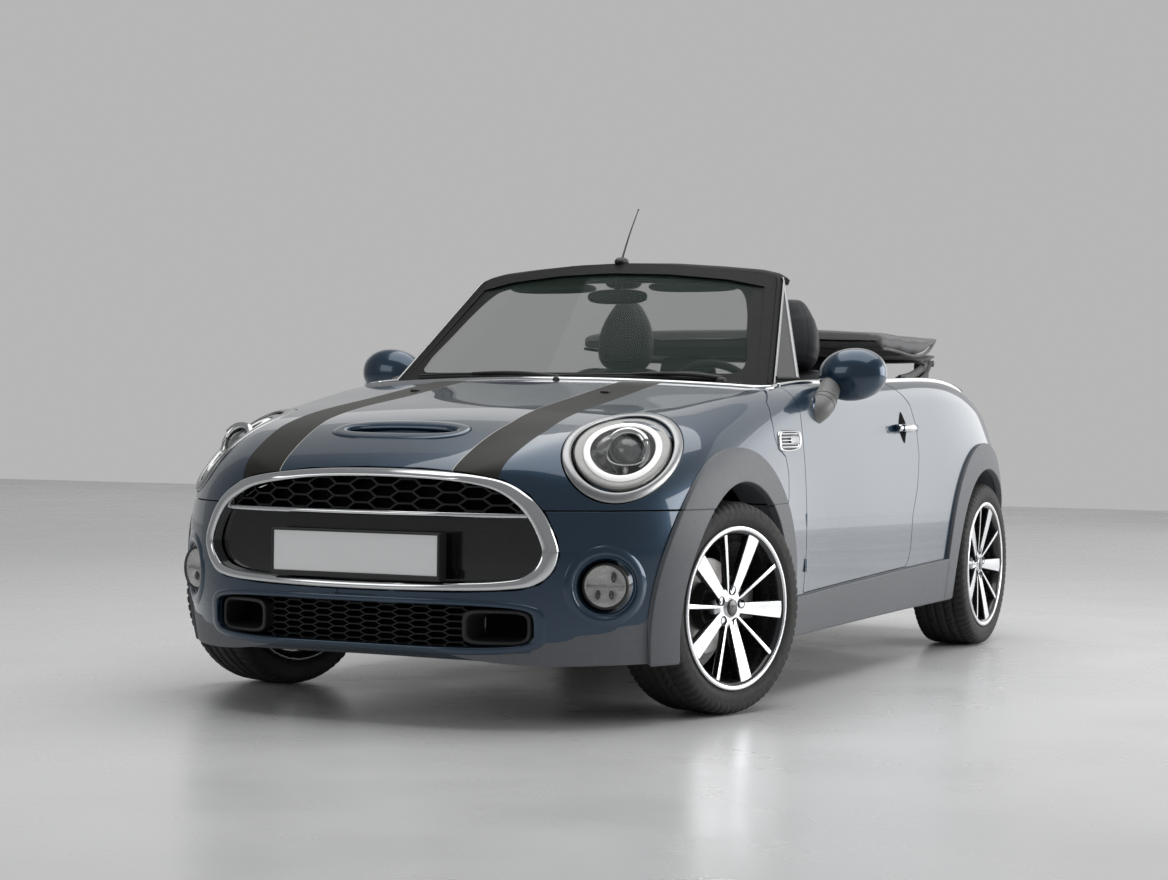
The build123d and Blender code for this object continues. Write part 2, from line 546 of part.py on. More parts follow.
def slab_loft(rows, radius=30.0):
    """Soft block through level rectangles: (y0, y1, half width, z)."""
    wires = []
    for y0, y1, half, z in rows:
        r = min(radius, (y1 - y0) / 2 - 2)
        flat = Rectangle(2 * half, y1 - y0)
        flat = fillet(flat.vertices(), r)
        wires.append((Pos(0, (y0 + y1) / 2, z) * flat).wires()[0])
    return Solid.make_loft(wires, False)


def cushion(y0, y1, half, z0, z1, soft=40.0):
    shape = Pos(0, (y0 + y1) / 2, (z0 + z1) / 2) * Box(2 * half, y1 - y0, z1 - z0)
    return fillet(shape.edges(), soft)


front_cushion = cushion(-60, 470, 250, 380, 520, 45) + block(-190, 190, 0, 420, FLOOR_Z, 400)
seat_back = slab_loft([(395, 535, 235, 470), (440, 585, 250, 650), (505, 645, 245, 850), (560, 680, 205, 1030)], 50)
head = Pos(0, 612, 1150) * scale(Sphere(50), by=(2.6, 1.25, 2.3))
neck = block(-70, 70, 588, 650, 1010, 1100)
seat_back = seat_back + head + neck
keep("front_seat_cushions", [Pos(s * SEAT_X, 0, 0) * (front_cushion - seat_back) for s in (1, -1)])
keep("front_seat_backs", [Pos(s * SEAT_X, 0, 0) * seat_back for s in (1, -1)])
rear_base = cushion(740, 1060, 540, 345, 490, 40)
rear_back = slab_loft([(1010, 1115, 540, 480), (1020, 1115, 540, 700), (1035, 1116, 520, 940)], 30)
rear_heads = [Pos(s * 280, 1060, 1010) * scale(Sphere(50), by=(2.4, 1.0, 1.7)) for s in (1, -1)]
keep("rear_seats", rear_base + rear_back + rear_heads)

# ---------------------------------------------------------------- folded hood
STACK = [(1130, 1440, 600, 900), (1122, 1470, 600, 1010), (1125, 1485, 600, 1090), (1150, 1480, 590, 1120)]
TOP_FOLD = [(800, 1470, 596, 1112), (785, 1485, 604, 1130), (788, 1492, 603, 1162), (830, 1480, 572, 1184)]
stack = slab_loft(STACK, 60) + slab_loft(TOP_FOLD, 40)
links = [block(s * 616 - 12, s * 616 + 12, 800, 1460, 1000, 1060) for s in (1, -1)]
posts = [block(s * 640 - 26, s * 640 + 26, 1300, 1440, 700, 1010) for s in (1, -1)]
keep("soft_top", stack + links + posts)

# ---------------------------------------------------------------- wheels
TYRE_PROFILE = ((-92, 222), (-96.5, 238), (-106, 262), (-102.5, 288), (-92, 300), (-78, 306), (-40, 308),
                (40, 308), (78, 306), (92, 300), (102.5, 288), (106, 262), (96.5, 238), (92, 222),
                (85, 222), (88, 242), (93, 262), (88, 282), (70, 293), (-70, 293), (-88, 282), (-93, 262),
                (-88, 242), (-85, 222))
RIM_PROFILE = ((-104, 224), (-104, 236), (-98, 236), (-98, 222), (-84, 222), (-80, 212), (-40, 202), (40, 202),
               (80, 212), (84, 222), (98, 222), (98, 236), (104, 236), (104, 224), (90, 208), (44, 193),
               (-44, 193), (-90, 208))
SPINDLE_R = 30.6
BORE_R = 31.0
HUB_R = 72.0
DISC_R = 140.0
SPOKE_PHASE_DEG = -94.0


def revolve_x(profile):
    """Solid of revolution about X from (x, radius) points."""
    face = Face(Wire.make_polygon([(x, 0, r) for x, r in profile], close=True))
    return revolve(face, Axis.X, 360)


def make_tyre():
    return revolve_x(TYRE_PROFILE)


def make_rim():
    """Barrel, hub, five wide and five thin spokes and the brake disc; outboard is +X."""
    barrel = revolve_x(RIM_PROFILE)
    hub_body = tube_x(0, 0, HUB_R, -12, 62)
    disc = tube_x(0, 0, DISC_R, -32, -12)
    spokes = []
    for i in range(5):
        wide = side_prism(((-34, 40), (-40, 205), (40, 205), (34, 40)), 50, 84)
        thin = side_prism(((-12, 40), (-9, 205), (9, 205), (12, 40)), 54, 80)
        spokes.append(Rot(72 * i + SPOKE_PHASE_DEG, 0, 0) * wide)
        spokes.append(Rot(72 * i + 36 + SPOKE_PHASE_DEG, 0, 0) * thin)
    body_of = (barrel + hub_body + disc + spokes) + tube_x(0, 0, 62, 60, 76)
    limit = tube_x(0, 0, 215, 40, 110) + tube_x(0, 0, 240, -120, 41)
    body_of = body_of & (limit + revolve_x(((-120, 0.01), (-120, 240), (120, 240), (120, 0.01))))
    return body_of - tube_x(0, 0, BORE_R, -60, 52)


def make_knuckle():
    """Front upright with its spindle and brake caliper; the wheel plane is x = 0."""
    post = block(-100, -62, -34, 34, -104, 150)
    nose = tube_x(0, 0, 58, -100, -42) + tube_x(0, 0, SPINDLE_R, -60, 40)
    top = block(-140, -62, -26, 26, 112, 146)
    caliper = block(-62, -38, 62, 128, -50, 60) + block(-60, 22, 146, 178, -42, 42)
    caliper = caliper + block(-62, -38, 100, 178, -42, 42) + block(-100, -50, 20, 80, -30, 30)
    caliper = caliper + block(-5, 22, 96, 178, -42, 42)
    return post + nose + top + caliper


tyre = make_tyre()
rim = make_rim()
knuckle = make_knuckle()


def at_wheel(shape, side, y, steer=0.0):
    """Place a wheel-local shape; outboard is +X on the left and -X on the right."""
    local = shape if side > 0 else mirror(shape, about=Plane.YZ)
    local = Pos(side * (HALF_TRACK - KINGPIN_X), 0, 0) * local
    return Pos(side * KINGPIN_X, y, WHEEL_Z) * Rot(0, 0, steer) * local


for side, name in ((1, "left"), (-1, "right")):
    keep(f"tyre_front_{name}", at_wheel(tyre, side, FRONT_AXLE_Y, STEER_DEG))
    keep(f"rim_front_{name}", at_wheel(rim, side, FRONT_AXLE_Y, STEER_DEG))
    keep(f"knuckle_front_{name}", at_wheel(knuckle, side, FRONT_AXLE_Y, STEER_DEG))
    keep(f"tyre_rear_{name}", at_wheel(tyre, side, REAR_AXLE_Y))
    keep(f"rim_rear_{name}", at_wheel(rim, side, REAR_AXLE_Y))

# ---------------------------------------------------------------- running gear on the body
axle = tube_x(REAR_AXLE_Y, WHEEL_Z - 10, 32, -655, 655)
hubs = [at_wheel(tube_x(0, 0, 58, -100, -42) + tube_x(0, 0, SPINDLE_R, -60, 40) + block(-62, -38, 56, 130, -40, 40)
                 + block(-60, 22, 146, 176, -36, 36) + block(-60, -38, 100, 176, -36, 36)
                 + block(-5, 22, 100, 176, -36, 36), s, REAR_AXLE_Y) for s in (1, -1)]
trail = [block(s * 560 - 26, s * 560 + 26, 1160, 1345, 285, 325) for s in (1, -1)]
towers = [block(s * 560 - 30, s * 560 + 30, 1310, 1380, 300, 400) for s in (1, -1)]
keep("rear_axle", axle + hubs + trail + towers)
SUB = ((-400, -1260), (400, -1260), (400, -1040), (-400, -1040))
subframe = plan_prism(SUB, 196, 250)
lower_arms = [block(min(s * 380, s * 672), max(s * 380, s * 672), -1176, -1124, 165, 203.6) for s in (1, -1)]
feet = [block(min(s * 370, s * 438), max(s * 370, s * 438), -1250, -1050, 240, 400) for s in (1, -1)]
struts = [rod((s * 570, -1150, 454.4), (s * 570, -1150, 668), 24) for s in (1, -1)]
keep("front_subframe", subframe + lower_arms + feet)
keep("front_struts", struts)
keep("engine_block", block(-360, 360, -1560, -1000, 250, 720))
exhaust = rod((0, -990, 225), (0, 1560, 225), 30) + block(-60, 60, 1000, 1420, 190, 262)
tips = [rod((s * 52, 1500, 232), (s * 52, 1915, 232), 36) for s in (1, -1)]
muffler = block(-290, 290, 1560, 1760, 190, 290)
hangers = [block(-12, 12, -690, -666, 250, 290), block(-12, 12, 700, 724, 250, 290),
           block(-200, -180, 1570, 1600, 285, 300), block(180, 200, 1570, 1600, 285, 300)]
keep("exhaust", exhaust + tips + muffler + hangers)

for name, shape in PIECES.items():
    box = shape.bounding_box()
    print(f"{name:22s} {len(shape.solids()):2d} solids {shape.volume / 1e6:8.2f} l  "
          f"x {box.min.X:7.1f} {box.max.X:7.1f}  y {box.min.Y:8.1f} {box.max.Y:8.1f}  "
          f"z {box.min.Z:7.1f} {box.max.Z:7.1f}")
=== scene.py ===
import math
import bpy
import numpy as np
from mathutils import Matrix, Vector


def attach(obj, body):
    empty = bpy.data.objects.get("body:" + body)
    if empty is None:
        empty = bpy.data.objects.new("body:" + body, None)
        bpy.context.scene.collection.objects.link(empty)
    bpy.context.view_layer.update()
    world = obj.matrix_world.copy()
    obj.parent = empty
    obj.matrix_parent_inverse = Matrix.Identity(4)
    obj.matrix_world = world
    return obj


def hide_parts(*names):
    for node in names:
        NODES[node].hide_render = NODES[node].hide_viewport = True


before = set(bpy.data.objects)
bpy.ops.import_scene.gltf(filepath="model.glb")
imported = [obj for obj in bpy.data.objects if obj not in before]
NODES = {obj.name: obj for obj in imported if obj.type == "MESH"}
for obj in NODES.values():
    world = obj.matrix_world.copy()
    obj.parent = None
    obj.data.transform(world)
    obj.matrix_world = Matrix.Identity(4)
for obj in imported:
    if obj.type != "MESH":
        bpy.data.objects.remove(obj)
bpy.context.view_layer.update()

MM = 0.001
SIDES = ((1, "left"), (-1, "right"))
FLIP = np.array([1, 1, 1, -1, -1, -1])

# ------------------------------------------------------------------ driving sizes, mm
HALF_LENGTH = 1922.0
FRONT_AXLE_Y = -1150.0
REAR_AXLE_Y = 1345.0
WHEEL_Z = 308.0
HALF_TRACK = 742.5
KINGPIN_X = 700.0
STEER_DEG = -15.7
ARCH_R = 365.0
CLADDING_R = 460.0
CLADDING = 12.0
SPLIT_Z = 598.0
GAP = 5.0
EDGE = 1.2
BACK_MID_Y, BACK_END_Y = -765.0, -690.0
# Cross sections along the body: y; half width and its height; the underside's half width and height;
# the shoulder's lean and height; the top's crown; the shoulder's radius.
STATIONS = np.array((
    (-1922, 130, 450, 105, 300, 12, 590, 4, 45),
    (-1905, 275, 450, 240, 222, 24, 655, 9, 75),
    (-1865, 445, 455, 410, 186, 44, 712, 18, 120),
    (-1790, 590, 460, 555, 178, 68, 758, 30, 180),
    (-1680, 708, 470, 675, 178, 98, 808, 44, 250),
    (-1540, 792, 480, 760, 178, 120, 852, 54, 285),
    (-1370, 838, 490, 806, 180, 110, 884, 56, 265),
    (-1150, 850, 500, 820, 184, 94, 914, 52, 215),
    (-700, 830, 500, 802, 188, 52, 976, 42, 120),
    (0, 821, 500, 795, 194, 44, 1000, 28, 95),
    (700, 831, 500, 802, 200, 50, 1018, 28, 95),
    (1200, 850, 500, 814, 206, 80, 1020, 32, 125),
    (1450, 848, 500, 808, 212, 110, 1000, 40, 165),
    (1650, 808, 500, 770, 222, 115, 950, 40, 170),
    (1780, 724, 490, 692, 236, 95, 880, 32, 140),
    (1860, 612, 480, 582, 252, 60, 785, 22, 105),
    (1905, 420, 470, 395, 280, 30, 680, 12, 75),
    (1922, 230, 460, 210, 320, 15, 600, 6, 50)), float)
DOOR = ((-580, 314), (-580, 1100), (398, 1100), (398, 985), (440, 962), (530, 905), (572, 830),
        (578, 730), (545, 620), (490, 520), (478, 420), (470, 375), (440, 344))
BONNET_SIDE = ((-2100, 600.5), (-2100, 1200), (-690, 1200), (-690, 946), (-785, 904), (-828, 850),
               (-836, 802), (-815, 762), (-758, 738), (-742, 690), (-756, 600.5))
SILL = ((-800, 150), (-800, 298), (-580, 303), (440, 333), (1000, 348), (1000, 150))
GRILLE_OUTER = (
    (-567, 480), (-547, 542), (-506, 600), (-445, 644), (-362, 676), (-180, 699), (0, 706), (180, 704),
    (318, 695), (422, 677), (488, 640), (532, 588), (560, 522), (567, 480), (554, 434), (522, 402),
    (470, 386), (320, 377), (0, 373), (-320, 378), (-470, 389), (-530, 416))
GRILLE_INNER = (
    (-527, 482), (-506, 538), (-466, 588), (-410, 622), (-335, 650), (-170, 674), (0, 681), (170, 679),
    (302, 671), (397, 652), (456, 617), (494, 572), (520, 516), (526, 482), (514, 448), (488, 424),
    (450, 411), (320, 401), (0, 396), (-320, 401), (-456, 414), (-504, 440))
LID = ((-455, 492), (-485, 532), (-485, 1100), (485, 1100), (485, 532), (455, 492))
LID_REACH = ((-455, 440), (-485, 532), (-485, 1100), (485, 1100), (485, 532), (455, 440))
FOG_C, FOG_OUT_DEG, BOWL_R = (667.0, -1722.0, 394.0), 22.0, 76.0
LAMP_C, LAMP_OUT_DEG, LAMP_BACK_DEG = (635.0, -1556.0, 745.0), 14.0, 25.0
LAMP_LEAN, LAMP_WIDE, LAMP_TALL, LAMP_SHIFT = 0.28, 0.83, 1.40, (5.0, 18.0)
RING_A, RING_B = 170.0, 142.0


# ------------------------------------------------------------------ the body's surface
def natural_spline(t, v, q):
    """Natural cubic spline through (t, v), read at q."""
    n = len(t)
    h = np.diff(t)
    m = np.zeros((n, n))
    rhs = np.zeros(n)
    m[0, 0] = m[-1, -1] = 1.0
    for i in range(1, n - 1):
        m[i, i - 1], m[i, i], m[i, i + 1] = h[i - 1], 2 * (h[i - 1] + h[i]), h[i]
        rhs[i] = 6 * ((v[i + 1] - v[i]) / h[i] - (v[i] - v[i - 1]) / h[i - 1])
    c = np.linalg.solve(m, rhs)
    k = np.clip(np.searchsorted(t, q) - 1, 0, n - 2)
    a, b = t[k + 1] - q, q - t[k]
    w = h[k]
    return ((c[k] * a ** 3 + c[k + 1] * b ** 3) / (6 * w) + (v[k] / w - c[k] * w / 6) * a
            + (v[k + 1] / w - c[k + 1] * w / 6) * b)


STEPS = np.linalg.norm(np.diff(STATIONS[:, [0, 1, 6]], axis=0), axis=1)
CHORD = np.concatenate([[0], np.cumsum(STEPS)])
ROWS = 430
row_t = np.linspace(0, CHORD[-1], ROWS)
TABLE = np.stack([natural_spline(CHORD, STATIONS[:, i], row_t) for i in range(9)], 1)


def arcs(p):
    """Centres, radii and joins of each section's arcs; p holds one row of sizes a section."""
    y, w, zw, xb, zb, lean, zt, crown, r = p.T
    rise = zt - zw
    side_r = (lean ** 2 + rise ** 2) / (2 * lean)
    crown_r = (w * w + crown ** 2) / (2 * crown)
    low_r = ((w - xb) ** 2 + (zw - zb) ** 2) / (2 * (w - xb))
    sx, cz = w - side_r, zt - crown_r
    dx, dz = -sx, cz - zw
    d = np.hypot(dx, dz)
    a, b = side_r - r, crown_r - r
    t = (a * a - b * b + d * d) / (2 * d)
    h = np.sqrt(np.maximum(a * a - t * t, 0))
    e1 = (sx + (dx * t - dz * h) / d, zw + (dz * t + dx * h) / d)
    e2 = (sx + (dx * t + dz * h) / d, zw + (dz * t - dx * h) / d)
    first = (e1[0] + e1[1]) > (e2[0] + e2[1])
    cx, cy = np.where(first, e1[0], e2[0]), np.where(first, e1[1], e2[1])
    m1 = np.hypot(cx - sx, cy - zw)
    m2 = np.hypot(cx, cy - cz)
    return dict(y=y, w=w, zw=zw, zb=zb, zt=zt, lx=w - low_r, lr=low_r, sx=sx, sr=side_r, cx=cx, cy=cy, r=r,
                cz=cz, cr=crown_r, ux=sx + (cx - sx) / m1 * side_r, uz=zw + (cy - zw) / m1 * side_r,
                ox=cx / m2 * crown_r, oz=cz + (cy - cz) / m2 * crown_r)


ARC = arcs(TABLE)


def at(y):
    """The section sizes and arcs at y."""
    return {k: np.interp(y, ARC["y"], v) for k, v in ARC.items()}


def half_width(y, z):
    """Half the body's width at (y, z), or -1 where the body isn't."""
    s = at(y)
    root = lambda c: np.sqrt(np.maximum(c, 0))
    low = s["lx"] + root(s["lr"] ** 2 - (z - s["zw"]) ** 2)
    side = s["sx"] + root(s["sr"] ** 2 - (z - s["zw"]) ** 2)
    turn = s["cx"] + root(s["r"] ** 2 - (z - s["cy"]) ** 2)
    top = root(s["cr"] ** 2 - (z - s["cz"]) ** 2)
    x = np.where(z < s["zw"], low, np.where(z < s["uz"], side, np.where(z < s["oz"], turn, top)))
    return np.where((z > s["zt"]) | (z < s["zb"]) | (np.abs(y) > HALF_LENGTH), -1, x)


def cast(points, way, reach):
    """Where straight lines from points, which start outside, first meet the body's surface."""
    p = np.atleast_2d(np.asarray(points, float))
    d = np.broadcast_to(np.asarray(way, float), p.shape)

    def inside(s):
        q = p + d * s[:, None]
        return np.abs(q[:, 0]) < half_width(q[:, 1], q[:, 2])
    steps = np.linspace(0, reach, 80)
    near = np.full(len(p), reach)
    for s in steps[::-1]:
        near = np.where(inside(np.full(len(p), s)), s, near)
    far = near
    near = near - steps[1]
    for _ in range(22):
        m = (near + far) / 2
        hit = inside(m)
        far, near = np.where(hit, m, far), np.where(hit, near, m)
    return p + d * far[:, None]


def on_front(x, z):
    """Points on the body's nose, straight behind (x, z) ahead of it."""
    return cast(np.stack([x, np.full_like(x, -1960.0), z], 1), (0, 1, 0), 900)


def on_side(y, z, side):
    return np.stack([side * half_width(y, z), y, z], 1)


def on_top(x, y):
    return cast(np.stack([x, y, np.full_like(x, 1100.0)], 1), (0, 0, -1), 600)


# ------------------------------------------------------------------ mesh tools
# A mesh under work is (A, T): A has x y z nx ny nz a row, T three corners a row.
def unit(v):
    return v / np.maximum(np.linalg.norm(v, axis=-1, keepdims=True), 1e-9)


def grid_mesh(p, closed=False):
    """Mesh over a grid of points (rows, columns, 3); closed joins the last column to the first."""
    nu, nv = p.shape[:2]
    if closed:
        dv = np.roll(p, -1, 1) - np.roll(p, 1, 1)
    else:
        dv = np.gradient(p, axis=1)
    du = np.gradient(p, axis=0)
    n = unit(np.cross(du, dv))
    i = np.arange(nu - 1)[:, None] * nv
    j = np.arange(nv if closed else nv - 1)[None, :]
    k = (j + 1) % nv
    a, b, c, d = i + j, i + k, i + nv + k, i + nv + j
    t = np.concatenate([np.stack([a, d, c], -1).reshape(-1, 3), np.stack([a, c, b], -1).reshape(-1, 3)])
    return np.concatenate([p.reshape(-1, 3), n.reshape(-1, 3)], 1), t


def flipped(mesh):
    return mesh[0] * FLIP, mesh[1][:, ::-1]


def outward(mesh):
    """Turn a closed mesh the right way out."""
    a, t = mesh
    p = a[:, :3] - a[:, :3].mean(0)
    volume = np.einsum("ij,ij->i", p[t[:, 0]], np.cross(p[t[:, 1]], p[t[:, 2]])).sum()
    return mesh if volume > 0 else flipped(mesh)


def facing(mesh, way):
    """Turn an open mesh towards a direction."""
    return mesh if (mesh[0][:, 3:6] @ np.asarray(way, float)).sum() > 0 else flipped(mesh)


def compact(a, t):
    used, back = np.unique(t, return_inverse=True)
    return a[used], back.reshape(-1, 3)


def clip(mesh, field):
    """The part of a mesh where field(A) is above zero, cut cleanly along the line where it is zero."""
    a, t = mesh
    f = field(a)
    f = np.where(np.abs(f) < 0.02, 0.02, f)
    s = f > 0
    c = s[t].sum(1)
    whole = t[c == 3]
    cut = t[(c == 1) | (c == 2)]
    if len(cut) == 0:
        return compact(a, whole)
    one = (s[cut].sum(1) == 1)
    odd = np.where(one[:, None], s[cut], ~s[cut]).argmax(1)
    r = np.arange(len(cut))
    p, q, w = cut[r, odd], cut[r, (odd + 1) % 3], cut[r, (odd + 2) % 3]
    e = np.concatenate([np.stack([p, q], 1), np.stack([p, w], 1)])
    lo, hi = e.min(1), e.max(1)
    key, back = np.unique(lo.astype(np.int64) * len(a) + hi, return_inverse=True)
    i, j = key // len(a), key % len(a)
    k = (f[i] / (f[i] - f[j]))[:, None]
    new = a[i] + (a[j] - a[i]) * k
    new[:, 3:6] = unit(new[:, 3:6])
    pq, pw = len(a) + back[:len(cut)], len(a) + back[len(cut):]
    tri = [whole, np.stack([p, pq, pw], 1)[one], np.stack([pq, q, w], 1)[~one],
           np.stack([pq, w, pw], 1)[~one]]
    return compact(np.concatenate([a, new]), np.concatenate(tri))


def grown(mesh, by):
    a = mesh[0].copy()
    a[:, :3] += a[:, 3:6] * by
    return a, mesh[1]


def rimmed(mesh, depth, edge=EDGE):
    """A rounded edge and a wall turned inward all round a skin's open border."""
    a, t = mesh
    e = np.concatenate([t[:, [0, 1]], t[:, [1, 2]], t[:, [2, 0]]])
    n = len(a)
    key = e[:, 0].astype(np.int64) * n + e[:, 1]
    border = e[~np.isin(key, e[:, 1].astype(np.int64) * n + e[:, 0])]
    if len(border) == 0:
        return mesh
    out = np.zeros((n, 3))
    d = a[border[:, 1], :3] - a[border[:, 0], :3]
    side = np.cross(d, a[border[:, 0], 3:6])
    np.add.at(out, border[:, 0], side)
    np.add.at(out, border[:, 1], side)
    ids = np.unique(border)
    slot_of = np.full(n, -1)
    slot_of[ids] = np.arange(len(ids))
    lat = unit(out[ids])
    p, nn = a[ids, :3], a[ids, 3:6]
    ring0 = np.concatenate([p, nn], 1)
    ring1 = np.concatenate([p + (lat - nn * 0.3) * edge * 0.7, unit(nn + lat)], 1)
    ring2 = np.concatenate([p + (lat - nn) * edge, lat], 1)
    ring3 = np.concatenate([p + lat * edge - nn * depth, lat], 1)
    m = len(ids)
    i, j = slot_of[border[:, 0]], slot_of[border[:, 1]]
    tris = [t]
    for k in range(3):
        u, v = n + k * m, n + (k + 1) * m
        tris += [np.stack([j + u, i + u, i + v], 1), np.stack([j + u, i + v, j + v], 1)]
    return np.concatenate([a, ring0, ring1, ring2, ring3]), np.concatenate(tris)


def mirrored(mesh):
    a = mesh[0].copy()
    a[:, 0] *= -1
    a[:, 3] *= -1
    return a, mesh[1][:, ::-1]


def moved(mesh, matrix):
    """A mesh carried by a 4x4 matrix in mm."""
    m = np.array(matrix)
    a = mesh[0].copy()
    a[:, :3] = a[:, :3] @ m[:3, :3].T + m[:3, 3]
    a[:, 3:6] = unit(a[:, 3:6] @ np.linalg.inv(m[:3, :3]))
    return a, mesh[1]


def piece(name, parts, body, replaces=()):
    """One object from [(mesh, material), ...]; it rides on body."""
    mats, verts, norms, tris, index = [], [], [], [], []
    n = 0
    for mesh, mat in parts:
        if mat not in mats:
            mats.append(mat)
        a, t = mesh
        verts.append(a[:, :3] * MM)
        norms.append(a[:, 3:6])
        tris.append(t + n)
        index.append(np.full(len(t), mats.index(mat)))
        n += len(a)
    v, nn, t = np.concatenate(verts), np.concatenate(norms), np.concatenate(tris)
    area = np.linalg.norm(np.cross(v[t[:, 1]] - v[t[:, 0]], v[t[:, 2]] - v[t[:, 0]]), axis=1)
    good = area > 1e-12
    t, index = t[good], np.concatenate(index)[good]
    me = bpy.data.meshes.new(name)
    me.from_pydata(v.tolist(), [], t.tolist())
    me.polygons.foreach_set("material_index", index.astype(np.int32))
    me.polygons.foreach_set("use_smooth", np.ones(len(t), bool))
    for mat in mats:
        me.materials.append(mat)
    me.update()
    me.normals_split_custom_set_from_vertices([tuple(q) for q in nn])
    ob = bpy.data.objects.new(name, me)
    bpy.context.scene.collection.objects.link(ob)
    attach(ob, body)
    if replaces:
        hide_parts(*replaces)
    return ob


# ------------------------------------------------------------------ outline fields
def outline_distance(points, u, v):
    """Signed distance to a closed outline, below zero inside."""
    q = np.asarray(points, float)
    best = np.full(len(u), 1e9)
    inside = np.zeros(len(u), bool)
    for (x0, y0), (x1, y1) in zip(q, np.roll(q, -1, 0)):
        dx, dy = x1 - x0, y1 - y0
        k = np.clip(((u - x0) * dx + (v - y0) * dy) / (dx * dx + dy * dy), 0, 1)
        best = np.minimum(best, np.hypot(u - x0 - k * dx, v - y0 - k * dy))
        if y0 != y1:
            hit = ((y0 > v) != (y1 > v)) & (u < x0 + (v - y0) / (y1 - y0) * dx)
            inside ^= hit
    return np.where(inside, -best, best)


def closed_curve(points, n):
    """Smooth closed curve through points (Catmull-Rom), n samples."""
    q = np.asarray(points, float)
    m = len(q)
    s = np.linspace(0, m, n, endpoint=False)
    i = s.astype(int)
    k = (s - i)[:, None]
    p0, p1, p2, p3 = q[(i - 1) % m], q[i % m], q[(i + 1) % m], q[(i + 2) % m]
    return 0.5 * (2 * p1 + (p2 - p0) * k + (2 * p0 - 5 * p1 + 4 * p2 - p3) * k ** 2
                  + (3 * p1 - p0 - 3 * p2 + p3) * k ** 3)


def open_curve(points, n):
    """Smooth open curve through points, n samples, by chord length."""
    q = np.asarray(points, float)
    t = np.concatenate([[0], np.cumsum(np.linalg.norm(np.diff(q, axis=0), axis=1))])
    s = np.linspace(0, t[-1], n)
    return np.stack([natural_spline(t, q[:, i], s) for i in range(q.shape[1])], 1)


def all_round(n):
    return 2 * math.pi * np.arange(n) / n


def ring_of(u, v, r, n=96):
    """Circle of radius r in the plane of u and v."""
    t = all_round(n)[:, None]
    return r * (np.cos(t) * u + np.sin(t) * v)


def squared(v, power):
    """A sine or cosine bent towards a squarer turn."""
    return np.sign(v) * np.abs(v) ** (2.0 / power)


def oval(cx, cz, a, b, n, power):
    t = 2 * math.pi * (np.arange(n) + 0.5) / n
    return np.stack([cx + a * squared(np.cos(t), power), cz + b * squared(np.sin(t), power)], 1)


def side_out(points, off):
    """Field above zero outside an outline in side view."""
    return lambda a: outline_distance(points, a[:, 1], a[:, 2]) - off


def nose_out(points, off, ahead):
    """Field above zero outside an outline in front view; only counts ahead of y."""
    return lambda a: np.maximum(outline_distance(points, a[:, 0], a[:, 2]) - off, a[:, 1] - ahead)


def inside(field):
    return lambda a: -field(a)


# Fields join like solids: both_of is above zero where all are, any_of where at least one is.
def both_of(*fields):
    return lambda a: np.minimum.reduce([f(a) for f in fields])


def any_of(*fields):
    return lambda a: np.maximum.reduce([f(a) for f in fields])


def out_x(v):
    return lambda a: np.abs(a[:, 0]) - v


def wheel_r(a, axle):
    return np.hypot(a[:, 1] - axle, a[:, 2] - WHEEL_Z)


def back_line(a):
    """How far a point is behind the bonnet's curved back edge."""
    half = 760.0
    return a[:, 1] - (BACK_MID_Y + (BACK_END_Y - BACK_MID_Y) * np.minimum((a[:, 0] / half) ** 2, 1.0))


def carve(mesh, *fields):
    for f in fields:
        mesh = clip(mesh, f)
    return mesh


def zoned(mesh, zones, mat):
    """[(mesh, material)] after cutting zones (field, material) out of a mesh."""
    parts = []
    for field, zone_mat in zones:
        parts.append((clip(mesh, field), zone_mat))
        mesh = clip(mesh, inside(field))
    return parts + [(mesh, mat)]


# ------------------------------------------------------------------ sweeps and lathes
def loft(rows, closed=True):
    """Mesh through rows of points; each row is one ring."""
    return grid_mesh(np.stack(rows), closed)


def capped(rows):
    """Closed loft whose two ends draw in to their middles."""
    first, last = rows[0], rows[-1]
    head = [first * (1 - k) + first.mean(0) * k for k in (0.999, 0.6, 0.25)]
    tail = [last * (1 - k) + last.mean(0) * k for k in (0.25, 0.6, 0.999)]
    return outward(loft(head + list(rows) + tail))


def built(form, profile, way):
    """Loft through form(*values) for each entry of a profile, turned towards way."""
    return facing(loft([form(*values) for values in profile]), way)


def tube(path, radius, sides, squash=1.0):
    """Round bar along a path; radius may be one a point."""
    p = np.asarray(path, float)
    d = unit(np.gradient(p, axis=0))
    up = np.array([0, 0, 1.0]) if abs(d[:, 2]).mean() < 0.9 else np.array([1.0, 0, 0])
    u = unit(np.cross(d, up))
    v = np.cross(u, d)
    r = np.broadcast_to(radius, (len(p),))[:, None, None]
    t = all_round(sides)[None, :, None]
    ring = p[:, None, :] + r * (np.cos(t) * u[:, None, :] + squash * np.sin(t) * v[:, None, :])
    return capped(list(ring))


def strip(path, across, profile):
    """Profile (offset, height) pairs swept along a path; across and the path's own run give the frame."""
    p = np.asarray(path, float)
    d = unit(np.gradient(p, axis=0))
    u = unit(np.asarray(across, float) - d * np.sum(np.asarray(across, float) * d, -1, keepdims=True))
    v = np.cross(d, u)
    q = np.asarray(profile, float)
    rows = [p[i] + q[:, :1] * u[i] + q[:, 1:] * v[i] for i in range(len(p))]
    return capped(rows)


def lathe_x(profile, steps):
    """Surface of revolution about X from (x, r) points."""
    q = np.asarray(profile, float)
    t = all_round(steps)
    p = np.stack([np.broadcast_to(q[:, :1], (len(q), steps)), q[:, 1:] * np.cos(t), q[:, 1:] * np.sin(t)], -1)
    return grid_mesh(p, True)


